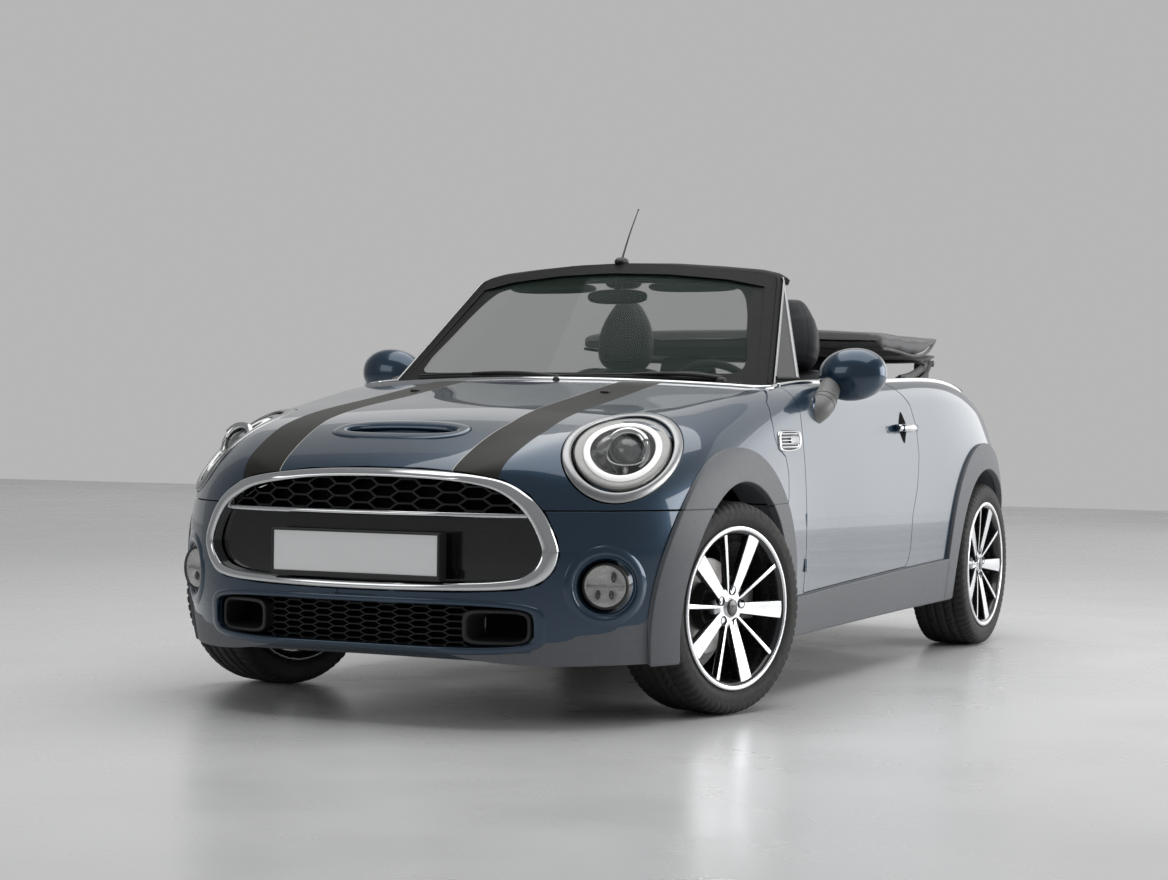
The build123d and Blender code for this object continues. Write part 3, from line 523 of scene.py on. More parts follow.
def box_mesh(x0, x1, y0, y1, z0, z1, r):
    """Box with rounded edges, as a squared-off ball."""
    n, m = 24, 17
    c = np.array([(x0 + x1) / 2, (y0 + y1) / 2, (z0 + z1) / 2])
    h = np.array([x1 - x0, y1 - y0, z1 - z0]) / 2
    r = min(r, h.min() * 0.95)
    t = 2 * math.pi * (np.arange(n) + 0.5) / n
    f = math.pi * (np.arange(m) / (m - 1) - 0.5)[:, None]
    f[m // 2] = 1e-6
    d = np.stack([np.cos(f) * np.cos(t), np.cos(f) * np.sin(t), np.sin(f) * np.ones(n)], -1)
    corner = np.sign(np.where(np.abs(d) < 1e-9, 0, d)) * (h - r)
    corner[m // 2] = corner[m // 2 + 1]
    return outward(grid_mesh(c + corner + d * r, True))


# ------------------------------------------------------------------ materials
SOCKET = {"coat": "Coat Weight", "coat_rough": "Coat Roughness", "sheen": "Sheen Weight",
          "spec": "Specular IOR Level", "glow": "Emission Strength", "alpha": "Alpha",
          "sheen_rough": "Sheen Roughness"}


def link_noise(nt, coord, scale, detail=4.0, kind="ShaderNodeTexNoise"):
    tex = nt.nodes.new(kind)
    tex.inputs["Scale"].default_value = scale
    if "Detail" in tex.inputs:
        tex.inputs["Detail"].default_value = detail
    nt.links.new(coord, tex.inputs["Vector"])
    return tex


def make(name, a, b, scale=20.0, rough=(0.4, 0.5), metal=0.0, bumps=(), **extra):
    """Principled finish: two colours mixed by noise, roughness by a second noise, bumps (kind, scale, mm)."""
    mat = bpy.data.materials.new(name)
    mat.use_nodes = True
    nt = mat.node_tree
    shader = nt.nodes["Principled BSDF"]
    coord = nt.nodes.new("ShaderNodeTexCoord").outputs["Object"]
    tint = nt.nodes.new("ShaderNodeMix")
    tint.data_type = "RGBA"
    tint.inputs[6].default_value = (*a, 1)
    tint.inputs[7].default_value = (*b, 1)
    nt.links.new(link_noise(nt, coord, scale).outputs["Fac"], tint.inputs[0])
    nt.links.new(tint.outputs[2], shader.inputs["Base Color"])
    shader.inputs["Roughness"].default_value = rough[0]
    if rough[1] > rough[0]:
        spread = nt.nodes.new("ShaderNodeMapRange")
        spread.inputs["From Min"].default_value = 0.3
        spread.inputs["From Max"].default_value = 0.7
        spread.inputs["To Min"].default_value = rough[0]
        spread.inputs["To Max"].default_value = rough[1]
        nt.links.new(link_noise(nt, coord, scale * 2.7, 6.0).outputs["Fac"], spread.inputs["Value"])
        nt.links.new(spread.outputs["Result"], shader.inputs["Roughness"])
    shader.inputs["Metallic"].default_value = metal
    last = None
    for kind, size, depth in bumps:
        if kind == "weave":
            u = link_noise(nt, coord, size, kind="ShaderNodeTexWave")
            v = link_noise(nt, coord, size, kind="ShaderNodeTexWave")
            v.bands_direction = "Z"
            tex = nt.nodes.new("ShaderNodeMath")
            tex.operation = "MULTIPLY"
            nt.links.new(u.outputs["Fac"], tex.inputs[0])
            nt.links.new(v.outputs["Fac"], tex.inputs[1])
            height = tex.outputs[0]
        elif kind == "grain":
            height = link_noise(nt, coord, size, kind="ShaderNodeTexVoronoi").outputs["Distance"]
        else:
            height = link_noise(nt, coord, size, 5.0).outputs["Fac"]
        bump = nt.nodes.new("ShaderNodeBump")
        bump.inputs["Distance"].default_value = depth * MM
        nt.links.new(height, bump.inputs["Height"])
        if last:
            nt.links.new(last, bump.inputs["Normal"])
        last = bump.outputs["Normal"]
    if last:
        nt.links.new(last, shader.inputs["Normal"])
    for key, value in extra.items():
        shader.inputs[SOCKET[key]].default_value = value
    if "glow" in extra:
        shader.inputs["Emission Color"].default_value = (*b, 1)
    mat.diffuse_color = (*a, 1)
    return mat


def masked(name, outer, inner, half_x, well_r=0.0):
    """One finish outside half_x and another inside it, and in the wheel wells."""
    mat = make(name, *outer[:2], **outer[2])
    nt = mat.node_tree
    shader = nt.nodes["Principled BSDF"]
    coord = [n for n in nt.nodes if n.type == "TEX_COORD"][0].outputs["Object"]
    split = nt.nodes.new("ShaderNodeSeparateXYZ")
    nt.links.new(coord, split.inputs[0])

    def calc(op, x, y):
        node = nt.nodes.new("ShaderNodeMath")
        node.operation = op
        for k, v in enumerate((x, y)):
            if isinstance(v, (int, float)):
                node.inputs[k].default_value = v
            elif v is not None:
                nt.links.new(v, node.inputs[k])
        return node.outputs[0]
    mask = calc("GREATER_THAN", calc("ABSOLUTE", split.outputs[0], None), half_x)
    if well_r:
        for axle in (FRONT_AXLE_Y, REAR_AXLE_Y):
            dy = calc("SUBTRACT", split.outputs[1], axle * MM)
            dz = calc("SUBTRACT", split.outputs[2], WHEEL_Z * MM)
            r = calc("SQRT", calc("ADD", calc("MULTIPLY", dy, dy), calc("MULTIPLY", dz, dz)), None)
            mask = calc("MULTIPLY", mask, calc("GREATER_THAN", r, well_r))
        mask = calc("MULTIPLY", mask, calc("GREATER_THAN", split.outputs[2], 0.30))
    old = shader.inputs["Base Color"].links[0].from_socket
    mix = nt.nodes.new("ShaderNodeMix")
    mix.data_type = "RGBA"
    mix.inputs[6].default_value = (*inner, 1)
    nt.links.new(mask, mix.inputs[0])
    nt.links.new(old, mix.inputs[7])
    nt.links.new(mix.outputs[2], shader.inputs["Base Color"])
    nt.links.new(calc("MULTIPLY", mask, shader.inputs["Metallic"].default_value), shader.inputs["Metallic"])
    rough = shader.inputs["Roughness"].links[0].from_socket
    far = nt.nodes.new("ShaderNodeMix")
    far.inputs[2].default_value = 0.85
    nt.links.new(mask, far.inputs[0])
    nt.links.new(rough, far.inputs[3])
    nt.links.new(far.outputs[0], shader.inputs["Roughness"])
    shader.inputs["Coat Weight"].default_value = 0.0
    return mat


BLUE_A, BLUE_B = (0.006, 0.027, 0.056), (0.011, 0.042, 0.082)
PAINT_FINISH = dict(scale=900.0, rough=(0.24, 0.34), metal=0.6)
M_PAINT = make("body_paint", BLUE_A, BLUE_B, bumps=(("noise", 6.0, 0.05),), coat=1.0, coat_rough=0.02,
               **PAINT_FINISH)
M_STRIPE = make("stripe_olive", (0.011, 0.011, 0.008), (0.017, 0.0165, 0.012), 700.0, (0.46, 0.54),
                coat=0.06, coat_rough=0.12, spec=0.2)
M_PIN = make("pinstripe", (0.30, 0.29, 0.26), (0.36, 0.35, 0.31), 300.0, (0.3, 0.4), coat=0.6)
M_CLAD = make("grey_cladding", (0.098, 0.105, 0.116), (0.124, 0.131, 0.142), 60.0, (0.46, 0.58),
              bumps=(("noise", 900.0, 0.12),), spec=0.5)
M_BLACK = make("gloss_black", (0.006, 0.006, 0.007), (0.010, 0.010, 0.011), 40.0, (0.10, 0.18), coat=0.5)
M_TRIM = make("black_trim", (0.014, 0.014, 0.015), (0.022, 0.022, 0.023), 80.0, (0.42, 0.55),
              bumps=(("noise", 1200.0, 0.06),))
M_MESH = make("mesh_black", (0.010, 0.010, 0.011), (0.016, 0.016, 0.017), 60.0, (0.36, 0.46), spec=0.3)
M_CHROME = make("chrome", (0.60, 0.61, 0.62), (0.68, 0.69, 0.70), 12.0, (0.08, 0.14), 1.0)
M_SATIN = make("satin_silver", (0.30, 0.305, 0.31), (0.37, 0.375, 0.38), 40.0, (0.30, 0.40), 1.0)
M_BEZEL = make("lamp_bezel", (0.30, 0.30, 0.29), (0.38, 0.38, 0.365), 40.0, (0.34, 0.46), 0.5,
               bumps=(("noise", 90.0, 0.2),))
M_BOWL = make("lamp_bowl_dark", (0.06, 0.06, 0.06), (0.13, 0.13, 0.128), 26.0, (0.12, 0.22), 1.0)
M_FACET = make("lamp_reflector", (0.66, 0.66, 0.64), (0.88, 0.88, 0.86), 120.0, (0.24, 0.34), 0.2,
               bumps=(("grain", 95.0, 1.2),), coat=0.5)
M_PROJECTOR = make("lamp_projector", (0.035, 0.036, 0.038), (0.075, 0.077, 0.080), 55.0, (0.05, 0.12),
                   coat=1.0)
M_GREYPLASTIC = make("mirror_arm_grey", (0.145, 0.145, 0.14), (0.185, 0.185, 0.18), 50.0, (0.40, 0.50),
                     bumps=(("noise", 900.0, 0.08),))
M_PLATE = make("plate_blank", (0.82, 0.83, 0.83), (0.86, 0.87, 0.87), 8.0, (0.30, 0.36),
               bumps=(("noise", 200.0, 0.05),))
M_GLASS = make("screen_glass", (0.026, 0.044, 0.034), (0.032, 0.050, 0.040), 3.0, (0.0, 0.0), alpha=0.30,
               spec=0.08)
M_LENS = make("lamp_glass", (0.30, 0.31, 0.31), (0.34, 0.35, 0.35), 3.0, (0.0, 0.0), alpha=0.10, spec=1.0,
              coat=1.0, coat_rough=0.0)
M_FRIT = make("screen_frit", (0.010, 0.011, 0.010), (0.015, 0.016, 0.015), 40.0, (0.55, 0.65), spec=0.15,
              bumps=(("noise", 30.0, 0.02),))
M_VISOR = make("visor_grey", (0.16, 0.165, 0.16), (0.20, 0.205, 0.20), 50.0, (0.6, 0.7),
               bumps=(("noise", 700.0, 0.1),))
# Near-black, rough finish that paints shade: it stands in for the shade in gaps, grille cells, recesses and
# behind openings.
M_SHADE_BLACK = make("painted_shade_black", (0.002, 0.002, 0.0022), (0.0035, 0.0035, 0.0038), 40.0, (0.8, 0.95), spec=0.1)
M_DRL = make("lamp_white", (0.85, 0.86, 0.85), (0.95, 0.955, 0.94), 30.0, (0.3, 0.4), glow=0.42)
M_RED = make("lamp_red", (0.30, 0.006, 0.008), (0.42, 0.012, 0.012), 120.0, (0.08, 0.14), coat=0.8,
             bumps=(("grain", 260.0, 0.6),))
M_AMBER = make("lamp_amber", (0.55, 0.16, 0.01), (0.68, 0.24, 0.02), 120.0, (0.1, 0.2), coat=0.6,
               bumps=(("grain", 260.0, 0.6),))
M_RUBBER = make("tyre_rubber", (0.012, 0.012, 0.012), (0.024, 0.023, 0.022), 30.0, (0.62, 0.78),
                bumps=(("noise", 500.0, 0.15),))
M_RIM_BLACK = make("rim_black", (0.010, 0.010, 0.012), (0.016, 0.016, 0.018), 30.0, (0.20, 0.30), coat=0.5)
M_RIM_FACE = make("rim_machined", (0.62, 0.63, 0.65), (0.74, 0.75, 0.77), 14.0, (0.16, 0.26), 1.0,
                  bumps=(("noise", 1500.0, 0.02),), coat=0.4)
M_DISC = make("brake_disc", (0.30, 0.29, 0.28), (0.46, 0.45, 0.44), 50.0, (0.28, 0.42), 1.0)
M_STEEL = make("dark_steel", (0.05, 0.05, 0.052), (0.09, 0.088, 0.085), 25.0, (0.45, 0.7), 0.7,
               bumps=(("noise", 120.0, 0.4),))
M_ALLOY = make("cast_alloy", (0.28, 0.28, 0.28), (0.40, 0.40, 0.40), 25.0, (0.45, 0.6), 0.9,
               bumps=(("noise", 300.0, 0.3),))
M_EXHAUST = make("exhaust_steel", (0.36, 0.34, 0.32), (0.55, 0.53, 0.50), 18.0, (0.22, 0.4), 1.0)
M_LEATHER = make("seat_leather", (0.022, 0.023, 0.026), (0.034, 0.035, 0.039), 18.0, (0.46, 0.58),
                 bumps=(("grain", 900.0, 0.06), ("noise", 30.0, 0.4)), spec=0.45)
M_CABIN = make("cabin_plastic", (0.018, 0.018, 0.020), (0.028, 0.028, 0.030), 30.0, (0.48, 0.6),
               bumps=(("grain", 700.0, 0.2),))
M_HOOD = make("hood_fabric", (0.105, 0.106, 0.109), (0.150, 0.151, 0.155), 60.0, (0.8, 0.95),
              bumps=(("weave", 450.0, 0.5), ("noise", 14.0, 1.6)), sheen=0.25, sheen_rough=0.5)
M_SHELL = masked("shell_inner", (BLUE_A, BLUE_B, PAINT_FINISH), (0.012, 0.012, 0.013), 0.706, 0.38)
M_DOOR_IN = masked("door_inner", (BLUE_A, BLUE_B, PAINT_FINISH), (0.020, 0.020, 0.022), 0.722)

CORNERS = ("front_left", "front_right", "rear_left", "rear_right")
for mat, nodes in (
        (M_SHELL, ["body_shell"]), (M_DOOR_IN, ["door_left", "door_right"]),
        (M_PAINT, ["bonnet", "boot_lid", "front_bumper", "rear_bumper", "mirror_left", "mirror_right"]),
        (M_TRIM, ["grille_insert", "grille_frame", "lower_grille", "fog_lamps", "headlamps", "headlamp_rings",
                  "aerial", "wipers"]),
        (M_CLAD, ["bonnet_arch_trims", "lower_cladding"]), (M_PLATE, ["number_plates"]),
        (M_RED, ["tail_lamps"]), (M_FRIT, ["windscreen_frame"]), (M_GLASS, ["windscreen_glass"]),
        (M_CABIN, ["dashboard", "centre_console", "steering_wheel"]),
        (M_LEATHER, ["front_seat_cushions", "front_seat_backs", "rear_seats"]), (M_HOOD, ["soft_top"]),
        (M_STEEL, ["front_struts", "front_subframe", "rear_axle"]), (M_EXHAUST, ["exhaust"]),
        (M_ALLOY, ["engine_block", "knuckle_front_left", "knuckle_front_right"]),
        (M_RUBBER, [f"tyre_{c}" for c in CORNERS]), (M_RIM_FACE, [f"rim_{c}" for c in CORNERS])):
    for node in nodes:
        NODES[node].data.materials.clear()
        NODES[node].data.materials.append(mat)

# ------------------------------------------------------------------ the skins
LOW_N, SIDE_N, TURN_N, TOP_N = 14, 24, 20, 22


def arc_points(cx, cz, r, x0, z0, x1, z1, n):
    """n points along each section's arc from (x0, z0) towards (x1, z1); the last is left off."""
    a0, a1 = np.arctan2(z0 - cz, x0 - cx), np.arctan2(z1 - cz, x1 - cx)
    k = np.arange(n)[None, :] / n
    t = a0[:, None] + (a1 - a0)[:, None] * k
    return cx[:, None] + r[:, None] * np.cos(t), cz[:, None] + r[:, None] * np.sin(t)


def skin_grid():
    s = ARC
    zero = np.zeros(ROWS)
    foot = s["lx"] + np.sqrt(np.maximum(s["lr"] ** 2 - (s["zb"] - s["zw"]) ** 2, 0))
    bits = [arc_points(s["lx"], s["zw"], s["lr"], foot, s["zb"], s["w"], s["zw"], LOW_N),
            arc_points(s["sx"], s["zw"], s["sr"], s["w"], s["zw"], s["ux"], s["uz"], SIDE_N),
            arc_points(s["cx"], s["cy"], s["r"], s["ux"], s["uz"], s["ox"], s["oz"], TURN_N),
            arc_points(zero, s["cz"], s["cr"], s["ox"], s["oz"], zero, s["zt"], TOP_N)]
    x = np.concatenate([b[0] for b in bits] + [zero[:, None]], 1)
    z = np.concatenate([b[1] for b in bits] + [s["zt"][:, None]], 1)
    x = np.concatenate([x, -x[:, -2::-1]], 1)
    z = np.concatenate([z, z[:, -2::-1]], 1)
    y = np.broadcast_to(s["y"][:, None], x.shape)
    p = np.stack([x, y, z], -1)
    mid = (p.max(1) + p.min(1)) / 2
    ends = []
    for row, c in ((p[0], mid[0]), (p[-1], mid[-1])):
        ends.append([c + (row - c) * k for k in (0.02, 0.35, 0.7)])
    return np.concatenate([np.stack(ends[0]), p, np.stack(ends[1][::-1])])


BODY = outward(grid_mesh(skin_grid()))
# IN pulls a panel's border in from its outline; SEAM is the room left round a moving panel.
IN = -0.7
SEAM = GAP - 0.5
SKIN_RIM, CLADDING_RIM, CLADDING_EDGE = 14, 22, 4.0
SHELL_RIM = 12
FLARE_X = {FRONT_AXLE_Y: 745.0, REAR_AXLE_Y: 720.0}
FRONT_CUT_Y, TRIM_FRONT_Y, CHIN_Z, DIFFUSER_Z = -1386.0, -1620.0, 212.0, 300.0
LID_AHEAD_Y, REAR_CUT_Y, REAR_CUT_Z = 1712.0, 1641.0, 481.0
SHELL_LID_Y, SHELL_REAR_Y, SHELL_REAR_Z = 1707.5, 1638.5, 483.5
DOOR_X, SHELL_DOOR_X, SHELL_SILL_X, SILL_X = 715.0, 670.0, 790.0, 780.0
SHELL_FRONT_Y, SHELL_VENT_Y, VENT_LOW_Z = -777.0, -900.0, 700.0
OPEN_X, SCREEN_X, OPEN_AHEAD_Y, HOOD_REAR_Y, OPEN_Z, SCREEN_Z = 712.0, 722.0, -470.0, 1500.0, 700.0, 958.0
SHELL_TAIL_Y, SHELL_TAIL_Z = 1000.0, 240.0
FAR_BACK = 5000
EVERYWHERE = 1e3


def flare(axle, grow):
    """Field above zero on the cladding round a wheel arch."""
    return lambda a: np.minimum(CLADDING_R + grow - wheel_r(a, axle), np.abs(a[:, 0]) - FLARE_X[axle] + grow)


def arch_out(axle, off=0.0):
    """Field above zero outside a wheel arch."""
    return lambda a: wheel_r(a, axle) - ARCH_R - off


def above_split(a):
    return a[:, 2] - SPLIT_Z + 2.5 - IN


def lamp_frame(side):
    out, back = math.radians(LAMP_OUT_DEG), math.radians(LAMP_BACK_DEG)
    n = np.array([side * math.sin(out) * math.cos(back), -math.cos(out) * math.cos(back), math.sin(back)])
    u = np.array([math.cos(out), side * math.sin(out), 0.0])
    return np.array([side * LAMP_C[0], LAMP_C[1], LAMP_C[2]]), u, np.cross(n, u), n


def lamp_axes(side):
    """Centre and the two scaled axes of the leaning headlamp outline."""
    c, u, v, n = lamp_frame(side)
    lean_by = -LAMP_LEAN * side
    e1 = (math.cos(lean_by) * u + math.sin(lean_by) * v) * LAMP_WIDE
    e2 = (-math.sin(lean_by) * u + math.cos(lean_by) * v) * LAMP_TALL
    return c + u * LAMP_SHIFT[0] * side + v * LAMP_SHIFT[1], e1, e2


def lamp_out(off):
    def field(a):
        best = np.full(len(a), 1e9)
        for side in (1, -1):
            n = lamp_frame(side)[3]
            c, e1, e2 = lamp_axes(side)
            d = a[:, :3] - c
            k = np.hypot(d @ e1 / (e1 @ e1) / (RING_A + off), d @ e2 / (e2 @ e2) / (RING_B + off)) - 1
            k = np.where((d @ n > -260) & (np.sign(a[:, 0]) == side), k * RING_B, 1e3)
            best = np.minimum(best, k)
        return best
    return field


def fog_frame(side):
    out = math.radians(FOG_OUT_DEG)
    n = np.array([side * math.sin(out), -math.cos(out), 0.0])
    u = np.array([math.cos(out), side * math.sin(out), 0.0])
    return np.array([side * FOG_C[0], FOG_C[1], FOG_C[2]]), u, np.array([0, 0, 1.0]), n


def fog_out(a):
    best = np.full(len(a), 1e9)
    for side in (1, -1):
        c, u, v, n = fog_frame(side)
        d = a[:, :3] - c
        k = np.hypot(d @ u, d @ v) - BOWL_R - 4
        best = np.minimum(best, np.where((np.abs(d @ n) < 200) & (np.sign(a[:, 0]) == side), k, 1e3))
    return best


SCOOP_Y, SCOOP_A, SCOOP_B, SLOT_A, SLOT_B = -1672.0, 222.0, 70.0, 178.0, 28.0
SCOOP = oval(0, SCOOP_Y, SCOOP_A, SCOOP_B, 60, 2.5)
scoop_out = lambda a: np.where(a[:, 2] > 650, outline_distance(SCOOP, a[:, 0], a[:, 1]), EVERYWHERE)
bonnet_zone = both_of(inside(side_out(BONNET_SIDE, IN)), lambda a: -back_line(a) + IN)
INTAKE = oval(0, 282, 507, 56, 48, 6.0)
TAIL_X, TAIL_Z, TAIL_A, TAIL_B = 648.0, 722.0, 66.0, 112.0


def tail_out(off):
    line = oval(TAIL_X, TAIL_Z, TAIL_A + off, TAIL_B + off, 48, 3.0)
    return lambda a: np.where(a[:, 1] > HOOD_REAR_Y, outline_distance(line, np.abs(a[:, 0]), a[:, 2]),
                              EVERYWHERE)


PIN_W = 3.4
stripe_in = lambda a: np.interp(a[:, 1], (-1880, -1580, -1178, -700), (270, 300, 276, 262))
stripe_wide = lambda a: np.interp(a[:, 1], (-1880, -1847, -1613, -1314, -700), (405, 409, 436, 423, 400))
pin_in = lambda a: np.abs(a[:, 0]) - stripe_in(a)
pin_out = lambda a: np.abs(a[:, 0]) - stripe_in(a) - PIN_W
stripe_edge = lambda a: np.abs(a[:, 0]) - stripe_wide(a)
lid_zone = both_of(inside(nose_out(LID, IN, FAR_BACK)), lambda a: a[:, 1] - LID_AHEAD_Y + IN)
door_zone = both_of(inside(side_out(DOOR, IN)), out_x(DOOR_X))

front = carve(BODY, lambda a: FRONT_CUT_Y - a[:, 1], inside(above_split), nose_out(GRILLE_OUTER, 5.0, 0),
              nose_out(INTAKE, 2.0, 0), fog_out, inside(flare(FRONT_AXLE_Y, 1.0)), arch_out(FRONT_AXLE_Y))
LIP = ((480, 100), (500, 232), (572, 251), (660, 272), (738, 296), (764, 325), (1000, 330), (1000, 100))
lip = lambda a: np.minimum(-outline_distance(LIP, np.abs(a[:, 0]), a[:, 2]), 3.0)
chin = lambda a: CHIN_Z - a[:, 2]
front_zones = ((lip, M_CLAD), (chin, M_CLAD))
piece("bumper_front_skin", zoned(rimmed(front, SKIN_RIM), front_zones, M_PAINT), "car")

hood = rimmed(carve(BODY, bonnet_zone, nose_out(GRILLE_OUTER, GAP, -1200), lamp_out(5.0),
                    inside(flare(FRONT_AXLE_Y, 1.0)), scoop_out), SKIN_RIM)
stripes = ((stripe_edge, M_PAINT), (pin_out, M_STRIPE), (pin_in, M_PIN))
piece("bonnet_skin", zoned(hood, stripes, M_PAINT), "bonnet")

for s, tag in SIDES:
    door = rimmed(carve(BODY, door_zone, lambda a: s * a[:, 0]), SKIN_RIM)
    piece(f"door_{tag}_skin", [(door, M_PAINT)], f"door_{tag}")
piece("boot_lid_skin", [(rimmed(carve(BODY, lid_zone), SKIN_RIM), M_PAINT)], "boot_lid")

rear = carve(BODY, lambda a: a[:, 1] - REAR_CUT_Y, lambda a: REAR_CUT_Z - a[:, 2],
             inside(flare(REAR_AXLE_Y, 1.0)))
diffuser = lambda a: DIFFUSER_Z - a[:, 2]
piece("bumper_rear_skin", zoned(rimmed(rear, SKIN_RIM), ((diffuser, M_CLAD),), M_PAINT), "car")


def off_cabin(a):
    """Field above zero outside the cabin's opening, which is narrower under the windscreen's foot."""
    behind = a[:, 1] > OPEN_AHEAD_Y
    beside = np.abs(a[:, 0]) - np.where(behind, OPEN_X, SCREEN_X)
    beyond = np.where(behind, np.maximum(a[:, 1] - HOOD_REAR_Y, OPEN_Z - a[:, 2]), SCREEN_Z - a[:, 2])
    return np.maximum(beside, beyond)


shell = carve(
    BODY, lambda a: a[:, 1] - np.where(a[:, 2] > VENT_LOW_Z, SHELL_VENT_Y, SHELL_FRONT_Y),
    any_of(side_out(DOOR, SEAM), inside(out_x(SHELL_DOOR_X))),
    any_of(side_out(BONNET_SIDE, SEAM), lambda a: back_line(a) - SEAM),
    inside(flare(FRONT_AXLE_Y, 1.0)), inside(flare(REAR_AXLE_Y, 1.0)),
    any_of(side_out(SILL, 1.0), inside(out_x(SHELL_SILL_X))), off_cabin,
    any_of(nose_out(LID_REACH, SEAM, FAR_BACK), lambda a: SHELL_LID_Y - a[:, 1]),
    any_of(lambda a: a[:, 2] - SHELL_REAR_Z, lambda a: SHELL_REAR_Y - a[:, 1]),
    lambda a: np.where(a[:, 1] > SHELL_TAIL_Y, a[:, 2] - SHELL_TAIL_Z, 1.0), tail_out(2.0))
piece("shell_skin", [(rimmed(shell, SHELL_RIM), M_PAINT)], "car")

COVER = grown(BODY, CLADDING)
trims = carve(COVER, flare(FRONT_AXLE_Y, -1.0), arch_out(FRONT_AXLE_Y, 1.0),
              inside(side_out(BONNET_SIDE, IN)), lambda a: a[:, 1] - TRIM_FRONT_Y)
piece("bonnet_arch_skin", [(rimmed(trims, CLADDING_RIM, CLADDING_EDGE), M_CLAD)], "bonnet")
low = carve(COVER, flare(FRONT_AXLE_Y, -1.0), arch_out(FRONT_AXLE_Y, 1.0), inside(above_split))
back = carve(COVER, flare(REAR_AXLE_Y, -1.0), arch_out(REAR_AXLE_Y, 1.0))
beside_arches = [arch_out(axle, CLADDING_R - ARCH_R - 8) for axle in (FRONT_AXLE_Y, REAR_AXLE_Y)]
sill = carve(COVER, inside(side_out(SILL, 0.0)), out_x(SILL_X), *beside_arches)
piece("cladding_skin", [(rimmed(m, CLADDING_RIM, CLADDING_EDGE), M_CLAD) for m in (low, back, sill)], "car")


AHEAD, ASTERN, UPWARD, OUTBOARD = (0, -1, 0), (0, 1, 0), (0, 0, 1), (1, 0, 0)


def nose_y(x, inset):
    """How far forward the bumper's rounded plan reaches at x, set in by inset."""
    half, deep = 863.5 - inset, 775.0 - inset
    return FRONT_AXLE_Y - deep * (1 - np.minimum(np.abs(x) / half, 1) ** 2.5) ** 0.4


def ring_between(outer, inner, profile):
    """Band between two matched front-view curves; profile is (share of the way in, mm proud of the body)."""
    def row(k, h):
        q = outer * (1 - k) + inner * k
        return on_front(q[:, 0], q[:, 1]) - [0, h, 0]
    return built(row, profile, AHEAD)


# ------------------------------------------------------------------ grille
def comb(x0, x1, z0, z1, radius, high, bar, deep):
    """Sheet of long six-sided cells with walls, in front view at y = 0."""
    cells = []
    for i in range(int((x1 - x0) / (1.5 * radius)) + 2):
        for j in range(int((z1 - z0) / (2 * high)) + 2):
            cells.append((x0 + 1.5 * radius * i, z0 + 2 * high * j + (high if i % 2 else 0)))
    c = np.array(cells)[:, None, :]
    corner = np.array([(radius, 0), (radius / 2, high), (-radius / 2, high), (-radius, 0),
                       (-radius / 2, -high), (radius / 2, -high)])
    inner = corner * np.array([1 - bar / radius, 1 - bar / high * 0.62])
    sheets = []
    for first, second, y0, y1 in ((corner, inner, 0, 0), (inner, inner * 0.97, 0, deep)):
        rows_a, rows_t = [], []
        n = 0
        for k in range(6):
            m = (k + 1) % 6
            q = [c + s for s in (first[[k]], first[[m]], second[[m]], second[[k]])]
            p = np.concatenate([np.concatenate([s[..., :1], np.full_like(s[..., :1], y), s[..., 1:]], -1)
                                for s, y in zip(q, (y0, y0, y1, y1))], 1)
            nn = unit(np.cross(p[:, 1] - p[:, 0], p[:, 3] - p[:, 0]))
            want = np.array([0, -1.0, 0]) if y1 == y0 else -unit(np.array([first[k] + first[m]]) @ np.array(
                [[1.0, 0, 0], [0, 0, 1.0]]))
            turn = (nn * want).sum(-1).mean() < 0
            nn = -nn if turn else nn
            rows_a.append(np.concatenate([p, np.repeat(nn[:, None, :], 4, 1)], -1).reshape(-1, 6))
            f = np.arange(len(p))[:, None] * 4 + n
            tri = np.concatenate([f + np.array([[0, 1, 2]]), f + np.array([[0, 2, 3]])])
            rows_t.append(tri[:, ::-1] if turn else tri)
            n += len(p) * 4
        sheets.append((np.concatenate(rows_a), np.concatenate(rows_t)))
    return sheets


def pushed(mesh, y_of):
    """Move a front-view sheet back onto y_of(x, z)."""
    a = mesh[0].copy()
    a[:, 1] += y_of(a[:, 0], a[:, 2])
    return a, mesh[1]


def sheet_xz(x0, x1, z0, z1, nx, nz):
    x, z = np.meshgrid(np.linspace(x0, x1, nx), np.linspace(z0, z1, nz))
    return facing(grid_mesh(np.stack([x, np.zeros_like(x), z], -1)), AHEAD)


def plate_bars(half, high, low, side, y, r):
    """Four bars round a number plate, from their ranges in z and y."""
    places = (((-half, half), high), ((-half, half), low),
              ((-half, 8 - half), side), ((half - 8, half), side))
    return [box_mesh(*x, *y, *z, r) for x, z in places]


outer_curve, inner_curve = closed_curve(GRILLE_OUTER, 240), closed_curve(GRILLE_INNER, 240)
RING = ((0.0, -14), (0.01, -2), (0.06, 5), (0.16, 8), (0.4, 9.5), (0.7, 8.5), (0.9, 5), (0.98, 0), (1.0, -8),
        (1.01, -40))
ring = ring_between(outer_curve, inner_curve, RING)
